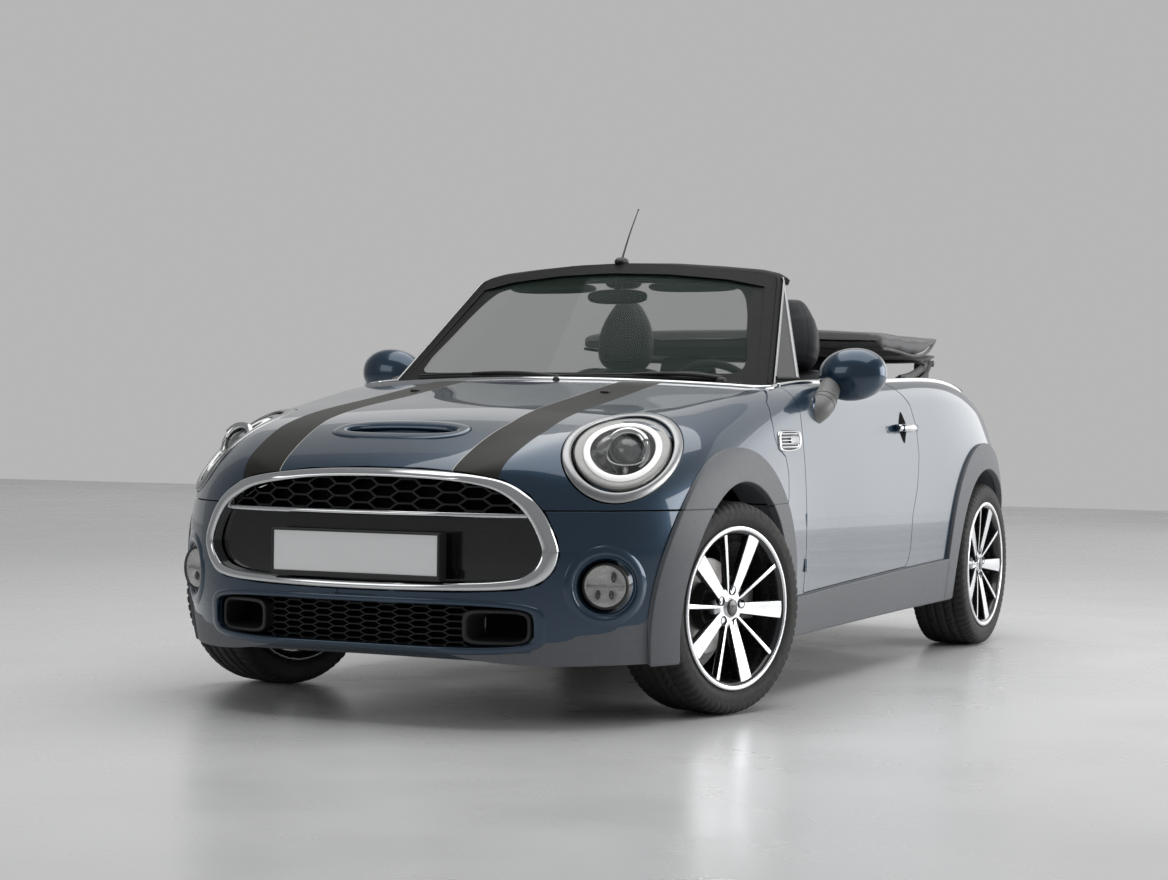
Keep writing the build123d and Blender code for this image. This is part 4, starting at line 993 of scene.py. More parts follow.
# Near-black band just outside the chrome ring: painted shade of the gap between the ring and the bumper.
gap_shade_ring = ring_between(outer_curve * 1.02 - [0, 10.6], outer_curve, ((0, -4), (1.0, -4), (1.2, -8)))
BAR_Z, BAR_R, MESH_LOW_Z, STEP_Z, STEP = 583.0, 7.5, 588.0, 432.0, 7.0
bar_x = np.linspace(-500, 500, 60)
bar = tube(np.stack([bar_x, nose_y(bar_x, 20), np.full(60, BAR_Z)], 1), BAR_R, 14)
piece("grille_ring", [(ring, M_CHROME), (bar, M_CHROME), (gap_shade_ring, M_SHADE_BLACK)], "car",
      ("grille_frame",))
lean = lambda x, z: np.maximum(nose_y(x, 36), on_front(x, z)[:, 1] + 26)
in_grille = inside(nose_out(GRILLE_INNER, 4.0, FAR_BACK))
upper, upper_walls = [carve(m, in_grille, lambda a: a[:, 2] - MESH_LOW_Z)
                      for m in comb(-540, 540, 560, 700, 45, 16.5, 4.0, 26)]
panel = carve(sheet_xz(-530, 530, 392, 582, 90, 60), in_grille)
panel[0][:, 1] += STEP / (1 + np.exp(-(STEP_Z - panel[0][:, 2]) / 1.5))
backing = carve(sheet_xz(-535, 535, 560, 690, 90, 30), in_grille)
backing[0][:, 1] += 30
holder = plate_bars(268, (527, 534), (402, 417), (408, 530), (-1928, -1902), 4)
holder.append(box_mesh(-266, 266, -1919, -1880, 404, 532, 4))
# The cell walls and the sheet behind the cells take the near-black shade finish: painted shade inside the
# grille.
piece("grille_mesh", [(pushed(upper, lean), M_MESH), (pushed(upper_walls, lean), M_SHADE_BLACK),
                      (pushed(panel, lambda x, z: nose_y(x, 40)), M_BLACK), (pushed(backing, lean), M_SHADE_BLACK)]
      + [(h, M_TRIM) for h in holder], "car", ("grille_insert",))

DUCT_X, DUCT_Z = 405, 280
low_y = lambda x, z: nose_y(x, 46)
in_intake = inside(nose_out(INTAKE, 0.0, FAR_BACK))
duct_line = oval(DUCT_X, DUCT_Z, 88, 46, 72, 4.5)
no_duct = lambda a: outline_distance(duct_line, np.abs(a[:, 0]), a[:, 2])
cells, cell_walls = [carve(m, in_intake, no_duct) for m in comb(-330, 330, 225, 345, 34, 9.5, 3.0, 18)]
back_sheet = carve(sheet_xz(-510, 510, 222, 342, 100, 20), in_intake, no_duct)
back_sheet[0][:, 1] += 22
# The cell walls and the sheet behind them are near-black: painted shade inside the intake.
parts = [(pushed(m, low_y), mat) for m, mat in ((cells, M_MESH), (cell_walls, M_SHADE_BLACK), (back_sheet, M_SHADE_BLACK))]
wall_line = closed_curve(INTAKE, 160)
parts.append((ring_between(wall_line, wall_line, ((0, 1), (0, -12), (0, -60))), M_TRIM))
for s in (1, -1):
    out_line, in_line = [oval(s * DUCT_X, DUCT_Z, a, b, 96, 4.5) for a, b in ((92, 50), (78, 37))]

    def duct_row(k, h):
        q = out_line * (1 - k) + in_line * k
        return np.stack([q[:, 0], nose_y(q[:, 0], 22) - h, q[:, 1]], 1)
    profile = ((-0.1, -30), (0, 0), (0.25, 5), (0.7, 5), (1, 0), (1.05, -20), (1.4, -90))
    parts.append((built(duct_row, profile, AHEAD), M_TRIM))
    # Near-black box behind each duct: painted shade in the duct's opening.
    parts.append((box_mesh(s * DUCT_X - 90, s * DUCT_X + 90, -1745, -1730, 232, 328, 6), M_SHADE_BLACK))
piece("lower_mesh", parts, "car", ("lower_grille",))
around_line = closed_curve(oval(0, 281, 536, 77, 56, 5.0), 200)
surround = ring_between(around_line, closed_curve(oval(0, 282, 508, 57, 56, 6.0), 200),
                        ((-0.06, -3), (0, 0), (0.14, 3.2), (0.34, 4.6), (0.75, 4.6), (0.92, 3.2), (1.0, -0.5),
                         (1.02, -14)))
piece("intake_surround", [(surround, M_PAINT)], "car")

# ------------------------------------------------------------------ headlamps and fog lamps
TURN = all_round(96)[:, None]


def lamp_ring(side, a, b, h):
    """Ellipse in the headlamp's frame laid on the body and lifted by h."""
    n = lamp_frame(side)[3]
    c, e1, e2 = lamp_axes(side)
    p = c + a * np.cos(TURN) * e1 + b * np.sin(TURN) * e2 + n * 200
    return cast(p, -n, 520) + n * h


def lamp_rows(side, rows):
    return built(lambda a, b, h: lamp_ring(side, a, b, h), rows, lamp_frame(side)[3])


def super_ball(c, ax, ay, az, power, n=64, rows=33, shape=None):
    """Ball with half sizes ax, ay, az, squarer as power goes above 2; shape may reform its unit points."""
    t = all_round(n)
    f = np.linspace(-math.pi / 2 + 0.002, math.pi / 2 - 0.002, rows)[:, None]
    flat = squared(np.cos(f), power)
    d = np.stack([flat * squared(np.cos(t), power), flat * squared(np.sin(t), power),
                  squared(np.sin(f), power) * np.ones(n)], -1)
    if shape is not None:
        d = shape(d)
    return outward(grid_mesh(np.asarray(c, float) + d * np.array([ax, ay, az]), True))


def ball(centre, r, n):
    return super_ball(centre, r, r, r, 2.0, n, n // 2 + 1)


def arc_plate(mid, u, v, n, span, radii, heights):
    """Curved plate between two radii over an angle range, in a lamp's frame."""
    q = np.radians(np.linspace(*span, 20))[:, None]
    way = np.cos(q) * u + np.sin(q) * v
    rows = [mid + way * r + n * h for r, h in zip(radii, heights)]
    return facing(loft(rows, False), n)


# Each profile is (half width, half height, mm lifted off the body) from the outside in.
RING_PROFILE = ((171, 143, -12), (171.5, 143.5, -1), (169, 141, 4.5), (161, 133, 7.5), (153, 125, 6.5),
                (148, 121, 2), (146.5, 119.5, -5), (146, 119, -34))
# Near-black band round the outside of the ring: painted shade of the gap between the ring and the body.
RING_GAP_SHADE = ((182, 154, -5), (170, 142, -5), (168, 140, -9))
LAMP_PROFILES = (
    # Near-black band inside the ring: painted shade of the gap between the ring and the bezel.
    (M_SHADE_BLACK, ((150, 123, -28), (141, 114, -26), (138.5, 111.5, -20))),
    (M_BEZEL, ((139, 112, -22), (138, 111, -8), (136, 109, -5), (130, 104, -5), (121, 97, -8),
               (113, 91, -13))),
    (M_DRL, ((113, 91, -13), (111, 89, -8), (104, 83, -6.5), (97, 77, -9), (94, 75, -15))),
    (M_BOWL, ((94, 75, -14), (90, 71, -28), (82, 65, -44), (68, 55, -58), (40, 34, -72), (5, 5, -78))))
LAMP_LENS = ((142, 115, -6), (139, 112, -1), (127, 102, 2), (90, 72, 3), (45, 36, 3), (1, 1, 3))
PROJECTOR_R, PROJECTOR_DEEP = 43, 44
PROJECTOR_BARREL = ((-24, 49), (8, 49), (11, 47), (9, 44), (2, 43))
HEX_BEZEL = ((50, 165), (56, 192), (60, 222), (54, 250), (54, 290), (60, 318), (54, 342))
rings, lamps = [], []
for side in (1, -1):
    n = lamp_frame(side)[3]
    u, v = lamp_frame(side)[1:3]
    rings += [(lamp_rows(side, RING_PROFILE), M_SATIN), (lamp_rows(side, RING_GAP_SHADE), M_SHADE_BLACK)]
    lamps += [(lamp_rows(side, profile), mat) for mat, profile in LAMP_PROFILES]
    c = lamp_axes(side)[0]
    mid = cast(c + n * 200, -n, 520)[0] + u * 8 * side + v * 6
    at_c = mid - n * PROJECTOR_DEEP
    barrel = built(lambda h, r: at_c + n * h + ring_of(u, v, r), PROJECTOR_BARREL, n)
    dome = built(lambda k: at_c + n * (3 + 22 * (1 - k * k)) + ring_of(u, v, PROJECTOR_R * k),
                 [(k,) for k in (1, 0.9, 0.75, 0.55, 0.35, 0.15, 0.01)], n)
    short_span = (-35, 22) if side > 0 else (158, 215)
    turns = [(r, math.radians(q)) for r, q in HEX_BEZEL]
    path = [at_c + n * 12 + r * (math.cos(q) * u + math.sin(q) * v) for r, q in turns]
    lamps += [(barrel, M_BOWL), (dome, M_PROJECTOR),
              (arc_plate(at_c, u, v, n, (28, 150), (46, 50, 60, 66), (14, 18, 20, 10)), M_CHROME),
              (arc_plate(at_c, u, v, n, short_span, (52, 57, 64), (10, 15, 8)), M_CHROME),
              (tube(open_curve(path, 36), 2.6, 10), M_CHROME),
              (tube([at_c - v * 56 + n * 2, at_c - v * 82 + n * 6], 9, 12), M_BEZEL),
              (lamp_rows(side, LAMP_LENS), M_LENS)]
piece("headlamp_rings_dressed", rings, "car", ("headlamp_rings",))
piece("headlamp_units", lamps, "car", ("headlamps",))

COLLAR = ((113, -2), (109, 1.5), (102, 4.5), (94, 6), (88, 5), (84, 1), (81, -5))
FOG_PROFILES = (
    (M_TRIM, ((65, -27), (64, -9), (61, -5), (57, -7), (56, -14))),
    (M_FACET, ((57, -10), (53, -18), (45, -27), (34, -34), (20, -39), (3, -41))))
FOG_LENS = ((58, -8), (54, -3), (40, 2), (22, 5), (2, 6))
fogs = []
for side in (1, -1):
    c, u, v, n = fog_frame(side)

    def circle(r, h):
        return c + ring_of(u, v, r) + n * h
    collar = [cast(circle(r, 160), -n, 330) + n * h for r, h in COLLAR]
    depth = (collar[-1] - c) @ n
    steps = [circle(81 - 17 * k, 0) + n * (depth * (1 - k) - 24 * k)[:, None]
             for k in (0, 0.3, 0.6, 0.85, 1.0)]
    fogs += [(facing(loft(m), n), mat)
             for m, mat in ((collar, M_PAINT), (steps[:3], M_PAINT), (steps[2:], M_BLACK))]
    fogs += [(built(circle, profile, n), mat) for mat, profile in FOG_PROFILES]
    bar = [c + u * off + n * h for off, h in ((-48, -16), (-20, -14), (20, -14), (50, -16))]
    fogs.append((tube(bar, 4, 10), M_BEZEL))
    for off_u, off_v, high in ((22, 24, 15), (-20, -24, 13), (16, -24, 12)):
        fogs.append((super_ball(c - n * 24 + u * off_u + v * off_v, 7, 7, high, 2.0, 24, 13), M_BOWL))
    fogs.append((built(circle, FOG_LENS, n), M_LENS))
piece("fog_lamp_units", fogs, "car", ("fog_lamps",))

# ------------------------------------------------------------------ bonnet scoop
SCOOP_PROFILE = ((1.0, -9), (0.998, -1), (0.97, 2.0), (0.92, 3.4), (0.80, 4.4), (0.55, 5.0), (0.25, 4.6),
                 (0.08, 3.0), (0.0, -1), (-0.03, -9), (-0.05, -40))
SLOT_DEEP, SLOT_BAR_DEEP = 34, 20
scoop_turn = oval(0, 0, 1, 1, 120, 2.5)


def scoop_row(k, h):
    """Line on the bonnet a share k of the way from the slot out to the scoop's edge."""
    q = scoop_turn * np.array([SLOT_A + (SCOOP_A - 4 - SLOT_A) * k, SLOT_B + (SCOOP_B - 4 - SLOT_B) * k])
    return on_top(q[:, 0], q[:, 1] + SCOOP_Y) + [0, 0, h]


# Near-black band round the scoop's edge: painted shade of the gap where the scoop meets the bonnet.
def scoop_gap_shade_row(k):
    q = scoop_turn * np.array([SCOOP_A * k, (SCOOP_B - SCOOP_A) + SCOOP_A * k])
    return on_top(q[:, 0], q[:, 1] + SCOOP_Y) - [0, 0, 3.4]


slot_x, slot_y = np.meshgrid(np.linspace(-180, 180, 40), np.linspace(SCOOP_Y - 32, SCOOP_Y + 32, 12))
floor_p = on_top(slot_x.ravel(), slot_y.ravel()).reshape(12, 40, 3) - [0, 0, SLOT_DEEP]
bar_y = np.linspace(SCOOP_Y - 24, SCOOP_Y + 24, 8)
grid_bars = [(tube(on_top(np.full(8, x), bar_y) - [0, 0, SLOT_BAR_DEEP], 3, 8), M_MESH)
             for x in np.linspace(-150, 150, 13)]
# The slot's floor is near-black too: painted shade at the bottom of the slot.
piece("bonnet_scoop", [(built(scoop_row, SCOOP_PROFILE, UPWARD), M_PAINT),
                       (built(scoop_gap_shade_row, ((1.07,), (0.96,)), UPWARD), M_SHADE_BLACK),
                       (facing(grid_mesh(floor_p), UPWARD), M_SHADE_BLACK)] + grid_bars, "bonnet")
JET_X, JET_Y = 330, -1010
for s, tag in SIDES[::-1]:
    x, y, z = on_top(np.array([s * float(JET_X)]), np.array([float(JET_Y)]))[0]
    jet = box_mesh(x - 14, x + 14, JET_Y - 12, JET_Y + 10, z - 3, z + 6, 5)
    piece(f"washer_jet_{tag}", [(jet, M_TRIM)], "bonnet")


# ------------------------------------------------------------------ wheels
def around(x, r, t):
    return np.stack([x, r * np.cos(t), r * np.sin(t)], -1)


def tyre_mesh():
    """Tyre with its grooves, shoulder blocks and side bands."""
    half = [(84, 223), (90, 227), (96.5, 236), (101, 244), (105, 254), (106.3, 264), (105.8, 276),
            (103.6, 287), (100, 295), (95, 300), (88, 303.6), (80, 305.6)]
    mid = [(x, 306 + 2 * (1 - (x / 80) ** 2)) for x in np.linspace(76, -76, 39)]
    q = np.array(half + mid + [(-x, r) for x, r in half[::-1]])
    steps = 288
    t = all_round(steps)
    x = np.broadcast_to(q[:, :1], (len(q), steps)).copy()
    r = np.broadcast_to(q[:, 1:], (len(q), steps)).copy()
    for c in (-52, -18, 18, 52):
        r -= 6.5 * (np.abs(x - c) < 4.5)
    block = (t[None, :] * 72 / (2 * math.pi) + x * 0.012) % 1.0
    r -= 4.5 * ((np.abs(x) > 56) & (r > 292)) * (block < 0.26)
    r -= 3.5 * ((np.abs(x) < 46) & (np.abs(x) > 22)) * (((block + x * 0.02) % 1.0) < 0.2)
    bulge = (r > 282) & (r < 301) & (np.abs(x) > 92)
    x += np.sign(x) * 1.6 * bulge * (block > 0.3)
    x += np.sign(x) * 1.2 * ((r > 251) & (r < 255)) + np.sign(x) * 1.0 * ((r > 238) & (r < 242))
    return outward(grid_mesh(around(x, r, np.broadcast_to(t, x.shape)), True))


SPOKE_PHASE_DEG, SPOKE_R0, SPOKE_R1, NUT_CIRCLE_R = -4.0, 40, 221, 50


def spoke(deg, half0, half1, face, depth):
    """One spoke: its machined face and its black flanks."""
    k = np.linspace(0, 1, 14)
    r = SPOKE_R0 + (SPOKE_R1 - SPOKE_R0) * k
    half = half0 + (half1 - half0) * k
    x = face[0] + (face[1] - face[0]) * k + face[2] * np.sin(math.pi * k)
    a = math.radians(deg)

    def place(t, xx):
        return np.stack([xx, r * math.cos(a) - t * math.sin(a), r * math.sin(a) + t * math.cos(a)], -1)
    top = np.stack([place(half * s, x + 0.6 * (1 - s * s)) for s in (-1, -0.6, 0, 0.6, 1)], 1)
    edge = [(1, 0), (1.04, -1.6), (1.10, -3), (1.12, -depth * 0.7), (0.6, -depth)]
    edge += [(-w, h) for w, h in edge[::-1]]
    flank = np.stack([place(half * s + math.copysign(0.8, s) * (abs(s) > 1), x + h) for s, h in edge], 1)
    top, flank = facing(grid_mesh(top), OUTBOARD), grid_mesh(flank)
    side = place(half * 1.12, x)[7]
    pick = np.argmin(np.linalg.norm(flank[0][:, :3] - (side - [depth * 0.5, 0, 0]), axis=1))
    lateral = np.array([0, -math.sin(a), math.cos(a)])
    if flank[0][pick, 3:6] @ lateral < 0:
        flank = flipped(flank)
    return [(top, M_RIM_FACE), (flank, M_RIM_BLACK)]


# Profiles turned about the axle, as (x, radius) from the wheel's middle plane.
RIM_PROFILES = (
    (M_RIM_FACE, OUTBOARD, 144, ((97, 222), (101, 221.5), (104.5, 224), (106, 229), (105.5, 234), (103, 237),
                                 (97, 237.5))),
    (M_RIM_BLACK, (-1, 0, 0), 96, ((-100, 218), (-105, 226), (-104, 237), (-96, 237))),
    (M_RIM_FACE, OUTBOARD, 96, ((84, 0.5), (84, 20), (83, 26), (78, 27), (77, 30), (78, 33), (78.5, 44),
                                (75, 58), (68, 66), (40, 70), (10, 72))),
    (M_RIM_BLACK, OUTBOARD, 64, ((88, 0.5), (87.5, 12), (86, 21), (83, 24.5), (80, 25))))
RIM_BACKS = (
    (M_RIM_BLACK, 96, ((-98, 226), (-90, 208), (-44, 201.5), (44, 204), (96, 222))),
    (M_DISC, 96, ((-12, 60), (-12, 138), (-14, 140), (-30, 140), (-32, 138), (-32, 60))),
    (M_STEEL, 64, ((30, 30), (30, 60), (24, 72), (-12, 74))))
BARREL = ((103, 222.5), (99, 217), (92, 211), (60, 205), (10, 200), (-60, 199), (-90, 206), (-99, 216))
NUT_PROFILES = ((M_RIM_BLACK, 32, ((62, 1), (62, 8), (80, 10.5), (82.6, 12.5), (81, 14.5), (70, 15))),
                (M_STEEL, 12, ((74, 0.5), (74, 6), (71, 8.5), (62, 8.5))))


def rim_parts():
    barrel = lathe_x(BARREL, 96)
    if (barrel[0][:, 4:6] * barrel[0][:, 1:3]).sum() > 0:
        barrel = flipped(barrel)
    parts = [(barrel, M_RIM_BLACK)]
    parts += [(facing(lathe_x(q, steps), way), mat) for mat, way, steps, q in RIM_PROFILES]
    parts += [(outward(lathe_x(q, steps)), mat) for mat, steps, q in RIM_BACKS]
    for i in range(5):
        deg = SPOKE_PHASE_DEG + 72 * i
        parts += spoke(deg, 14.5, 25, (78, 99, 1.0), 26)
        parts += spoke(deg + 36, 3.6, 6.2, (77.5, 99, 1.0), 22)
        c = math.radians(deg + 15)
        place = Matrix.Translation((0, NUT_CIRCLE_R * math.cos(c), NUT_CIRCLE_R * math.sin(c)))
        parts += [(moved(facing(lathe_x(q, steps), OUTBOARD), place), mat) for mat, steps, q in NUT_PROFILES]
    return parts


def at_wheel(mesh, side, y, steer):
    mesh = mesh if side > 0 else mirrored(mesh)
    m = (Matrix.Translation((side * KINGPIN_X, y, WHEEL_Z)) @ Matrix.Rotation(math.radians(steer), 4, "Z")
         @ Matrix.Translation((side * (HALF_TRACK - KINGPIN_X), 0, 0)))
    return moved(mesh, m)


tyre, rim = tyre_mesh(), rim_parts()
for side, tag in SIDES:
    for end, y, steer in (("front", FRONT_AXLE_Y, STEER_DEG), ("rear", REAR_AXLE_Y, 0.0)):
        body = f"wheel_{end}_{tag}"
        corner = f"{end}_{tag}"
        piece(f"tyre_dressed_{corner}", [(at_wheel(tyre, side, y, steer), M_RUBBER)], body,
              (f"tyre_{corner}",))
        piece(f"rim_dressed_{corner}", [(at_wheel(m, side, y, steer), mat) for m, mat in rim], body,
              (f"rim_{corner}",))

# ------------------------------------------------------------------ mirrors
def cup(d):
    d = d.copy()
    d[..., 1] = np.minimum(d[..., 1], 0.68)
    return d


MIRROR_C, MIRROR_SIZE, MIRROR_TILT_DEG = (853.0, -246.0, 999.0), (113, 78, 85), -6
MIRROR_FACE = ((1.12, 50), (1.1, 56), (1.04, 57), (1.0, 54.5), (0.5, 54.5), (0.01, 54.5))
ARM_FOOT_Y, ARM_FOOT_Z, ARM_TOP = -400.0, 884.0, (797, -292, 966)


def about(c, turn):
    """A turn made about the point c."""
    return Matrix.Translation(c) @ turn @ Matrix.Translation(Vector(c) * -1)


for s, tag in SIDES:
    c = (s * MIRROR_C[0], *MIRROR_C[1:])
    tilt = about(c, Matrix.Rotation(math.radians(MIRROR_TILT_DEG * s), 4, "Y"))
    housing = moved(super_ball(c, *MIRROR_SIZE, 2.1, shape=cup), tilt)
    q = oval(0, 0, 78, 60, 64, 2.3)
    face_rows = [np.stack([c[0] + q[:, 0] * k, np.full(64, c[1] + y), c[2] + q[:, 1] * k], 1)
                 for k, y in MIRROR_FACE]
    seat = on_side(np.array([ARM_FOOT_Y]), np.array([ARM_FOOT_Z]), s)[0]
    arm_path = open_curve([seat + [-s * 34, -20, -22], seat + [-s * 8, -4, -2], seat + [s * 2, 48, 34],
                           (s * ARM_TOP[0], *ARM_TOP[1:])], 24)
    arm_r = np.interp(np.linspace(0, 1, 24), (0, 0.25, 0.6, 1), (46, 44, 38, 34))
    arm = tube(arm_path, arm_r, 28, squash=0.9)
    foot = super_ball(seat + [-s * 20, -8, -12], 26, 68, 54, 2.2)
    seams = []
    for k in (9, 12):
        line = [arm_path[k], arm_path[k] + (arm_path[k + 1] - arm_path[k]) * 0.22]
        seams.append((tube(line, arm_r[k] + 0.6, 28, squash=0.9), M_TRIM))
    piece(f"mirror_dressed_{tag}", [(housing, M_PAINT), (facing(loft(face_rows[:4]), ASTERN), M_TRIM),
                                    (facing(loft(face_rows[3:]), ASTERN), M_CHROME), (arm, M_GREYPLASTIC),
                                    (foot, M_PAINT)] + seams, f"door_{tag}", (f"mirror_{tag}",))


# ------------------------------------------------------------------ belt line, vents, handles
def bead(path, half, high):
    """Low rounded strip lying on the body along a path whose points are on the surface."""
    low = -3 - 0.5 * high
    prof = [(-half, low), (-half, high * 0.5), (-half * 0.7, high * 0.9), (0, high), (half * 0.7, high * 0.9),
            (half, high * 0.5), (half, low)]
    d = unit(np.gradient(path, axis=0))
    across = unit(np.cross(d, np.array([0, 0, 1.0])))
    return strip(path, across, prof)


BELT_X, SEAL_X, BELT_HIGH = 720.0, 704.0, 13.0
COWL_HALF, COWL_LOW_Z, SCREEN_FOOT_Y, SCREEN_FOOT_HALF = 760, 944, -738, 688
for s, tag in SIDES:
    p = on_top(np.full(70, s * BELT_X), np.linspace(-578, 396, 70))
    piece(f"belt_door_{tag}", [(bead(p, 8, BELT_HIGH), M_CHROME)], f"door_{tag}")
    p = on_top(np.full(40, s * SEAL_X), np.linspace(-577, 396, 40)) - [0, 0, 1.0]
    piece(f"belt_seal_{tag}", [(bead(p, 8, 5), M_TRIM)], f"door_{tag}")
half_x = np.linspace(-COWL_HALF, COWL_HALF, 160)
cowl_y = BACK_MID_Y + (BACK_END_Y - BACK_MID_Y) * (half_x / COWL_HALF) ** 2 + 12
keep_x = np.abs(half_x) < 700
front_line = on_top(half_x[keep_x], cowl_y[keep_x])
front_line[:, 2] = np.maximum(front_line[:, 2], COWL_LOW_Z) - 1
for_side = [on_top(np.full(12, s * BELT_X), np.linspace(-664, -588, 12)) for s in (-1, 1)]
line = np.concatenate([for_side[0][::-1], front_line, for_side[1]])
line = open_curve(line[::6], 220)
belt_parts = [(bead(line, 8, 12), M_CHROME)]
quarter = [(BELT_X, 405), (BELT_X, 700), (BELT_X, 1000), (BELT_X, 1250), (718, 1380), (704, 1458),
           (668, 1508), (600, 1536), (450, 1549), (225, 1554), (0, 1556)]
quarter += [(-x, y) for x, y in quarter[-2::-1]]
q = open_curve(quarter, 260)
belt_parts.append((bead(on_top(q[:, 0], q[:, 1]), 8, BELT_HIGH), M_CHROME))
piece("belt_body", belt_parts, "car")

cx, ct = np.meshgrid(np.linspace(-712, 712, 90), np.linspace(0, 1, 12))
y0 = BACK_MID_Y + (BACK_END_Y - BACK_MID_Y) * (cx / COWL_HALF) ** 2 + 8
y1 = SCREEN_FOOT_Y + 190 * (cx / SCREEN_FOOT_HALF) ** 2
cz = np.where(np.abs(cx) > 640, 955, 961) + 3 * np.sin(ct * math.pi) - 14 * (np.abs(cx) / 712) ** 8
cowl = facing(grid_mesh(np.stack([cx, y0 + (y1 - y0) * ct, cz], -1)), UPWARD)
slats = []
for x in [s * k for s in (1, -1) for k in range(250, 620, 14)]:
    y = SCREEN_FOOT_Y + 150 * (x / SCREEN_FOOT_HALF) ** 2 - 12
    slats.append((box_mesh(x - 3, x + 3, y - 16, y + 16, 958, 966, 2), M_TRIM))
piece("cowl_panel", [(cowl, M_TRIM)] + slats, "car")


def side_patch(points, s, profile, n):
    """Patch on the side of the body; profile is (share of the way out from the middle, mm proud)."""
    c = closed_curve(points, n)
    mid = c.mean(0)

    def row(k, h):
        q = mid + (c - mid) * k
        return on_side(q[:, 0], q[:, 1], s) + [s * h, 0, 0]
    return built(row, profile, (s, 0, 0))


def domed(lift, dish=0.0):
    return [(k, lift + dish * (1 - k * k)) for k in np.linspace(1, 0.01, 8)]


VENT = ((-806, 764), (-800, 806), (-770, 818), (-660, 818), (-612, 812), (-606, 790), (-622, 766),
        (-680, 756), (-770, 754))
VENT_FRAME = ((1.0, -4), (1.0, 3), (0.95, 6), (0.86, 6), (0.82, 2), (0.80, -2))
VENT_LENS = ((-700, 800), (-640, 800), (-632, 788), (-640, 776), (-700, 776))
HANDLE_RECESS_SHADE = ((418, 882), (440, 866), (466, 830), (446, 794), (432, 774), (408, 790), (384, 828),
                 (398, 862))
HANDLE_Y, HANDLE_Z = (338, 506), 827.0
vent_line = closed_curve(VENT, 60)
vent_floor = (vent_line - vent_line.mean(0)) * 0.84 + vent_line.mean(0)
for s, tag in SIDES:
    parts = [(side_patch(VENT, s, VENT_FRAME, 60), M_CHROME),
             (side_patch(vent_floor, s, domed(0.5), 40), M_TRIM)]
    for z in (768, 778, 788, 798, 808):
        p = on_side(np.linspace(-786, -640, 30), np.full(30, float(z)), s) + [s * 3, 0, 0]
        parts.append((tube(p, 3.0, 8), M_CHROME))
    parts.append((side_patch(VENT_LENS, s, domed(5.5, 3), 40), M_SATIN))
    piece(f"side_vent_{tag}", parts, "car")
    bow = 4 + 26 * np.sin(np.linspace(0.12, math.pi - 0.12, 18)) ** 0.45
    handle = on_side(np.linspace(*HANDLE_Y, 18), np.full(18, HANDLE_Z), s) + s * bow[:, None] * [1, 0, 0]
    handle = tube(handle, 10.5 + 2.5 * np.sin(np.linspace(0, math.pi, 18)), 16, squash=1.15)
    # The handle's recess is a near-black patch lying 0.8 mm proud of the door: painted shade of a recess, not
    # a hollow.
    piece(f"door_handle_{tag}", [(side_patch(HANDLE_RECESS_SHADE, s, domed(0.8), 60), M_SHADE_BLACK), (handle, M_CHROME)],
          f"door_{tag}")

# ------------------------------------------------------------------ windscreen surround, wipers, aerial
SCREEN_EDGE_Y, SCREEN_FOOT_Z, SCREEN_RAKE, SCREEN_NARROWS = -546, 940, 1.0942, 0.335


def screen_y(x, z):
    """The windscreen's front face: raked, and bowed less towards its top."""
    up = z - SCREEN_FOOT_Z
    share = np.minimum(np.abs(x) / (SCREEN_FOOT_HALF - up * SCREEN_NARROWS), 1)
    return SCREEN_EDGE_Y + up * SCREEN_RAKE + (119 * up / 434 - 196) * (1 - share ** 2)


top_x = np.linspace(-560, 560, 80)
head_z = np.interp(np.abs(top_x), (0, 180, 350, 480, 535, 560), (1372, 1368, 1356, 1344, 1332, 1318))
path = np.stack([top_x, screen_y(top_x, head_z) + 14, head_z - 8], 1)
header = strip(path, np.array([0, 1.0, 0.28]), [(-26, -26), (-27, -4), (-22, 6), (-8, 12), (20, 11), (34, 2),
                                                         (34, -14), (10, -20)])
pillars = []


def on_screen(q, lift):
    """Outline points (x, z) laid on the windscreen, lifted off it towards the front."""
    return np.stack([q[:, 0], screen_y(q[:, 0], q[:, 1]) - lift, q[:, 1]], 1)


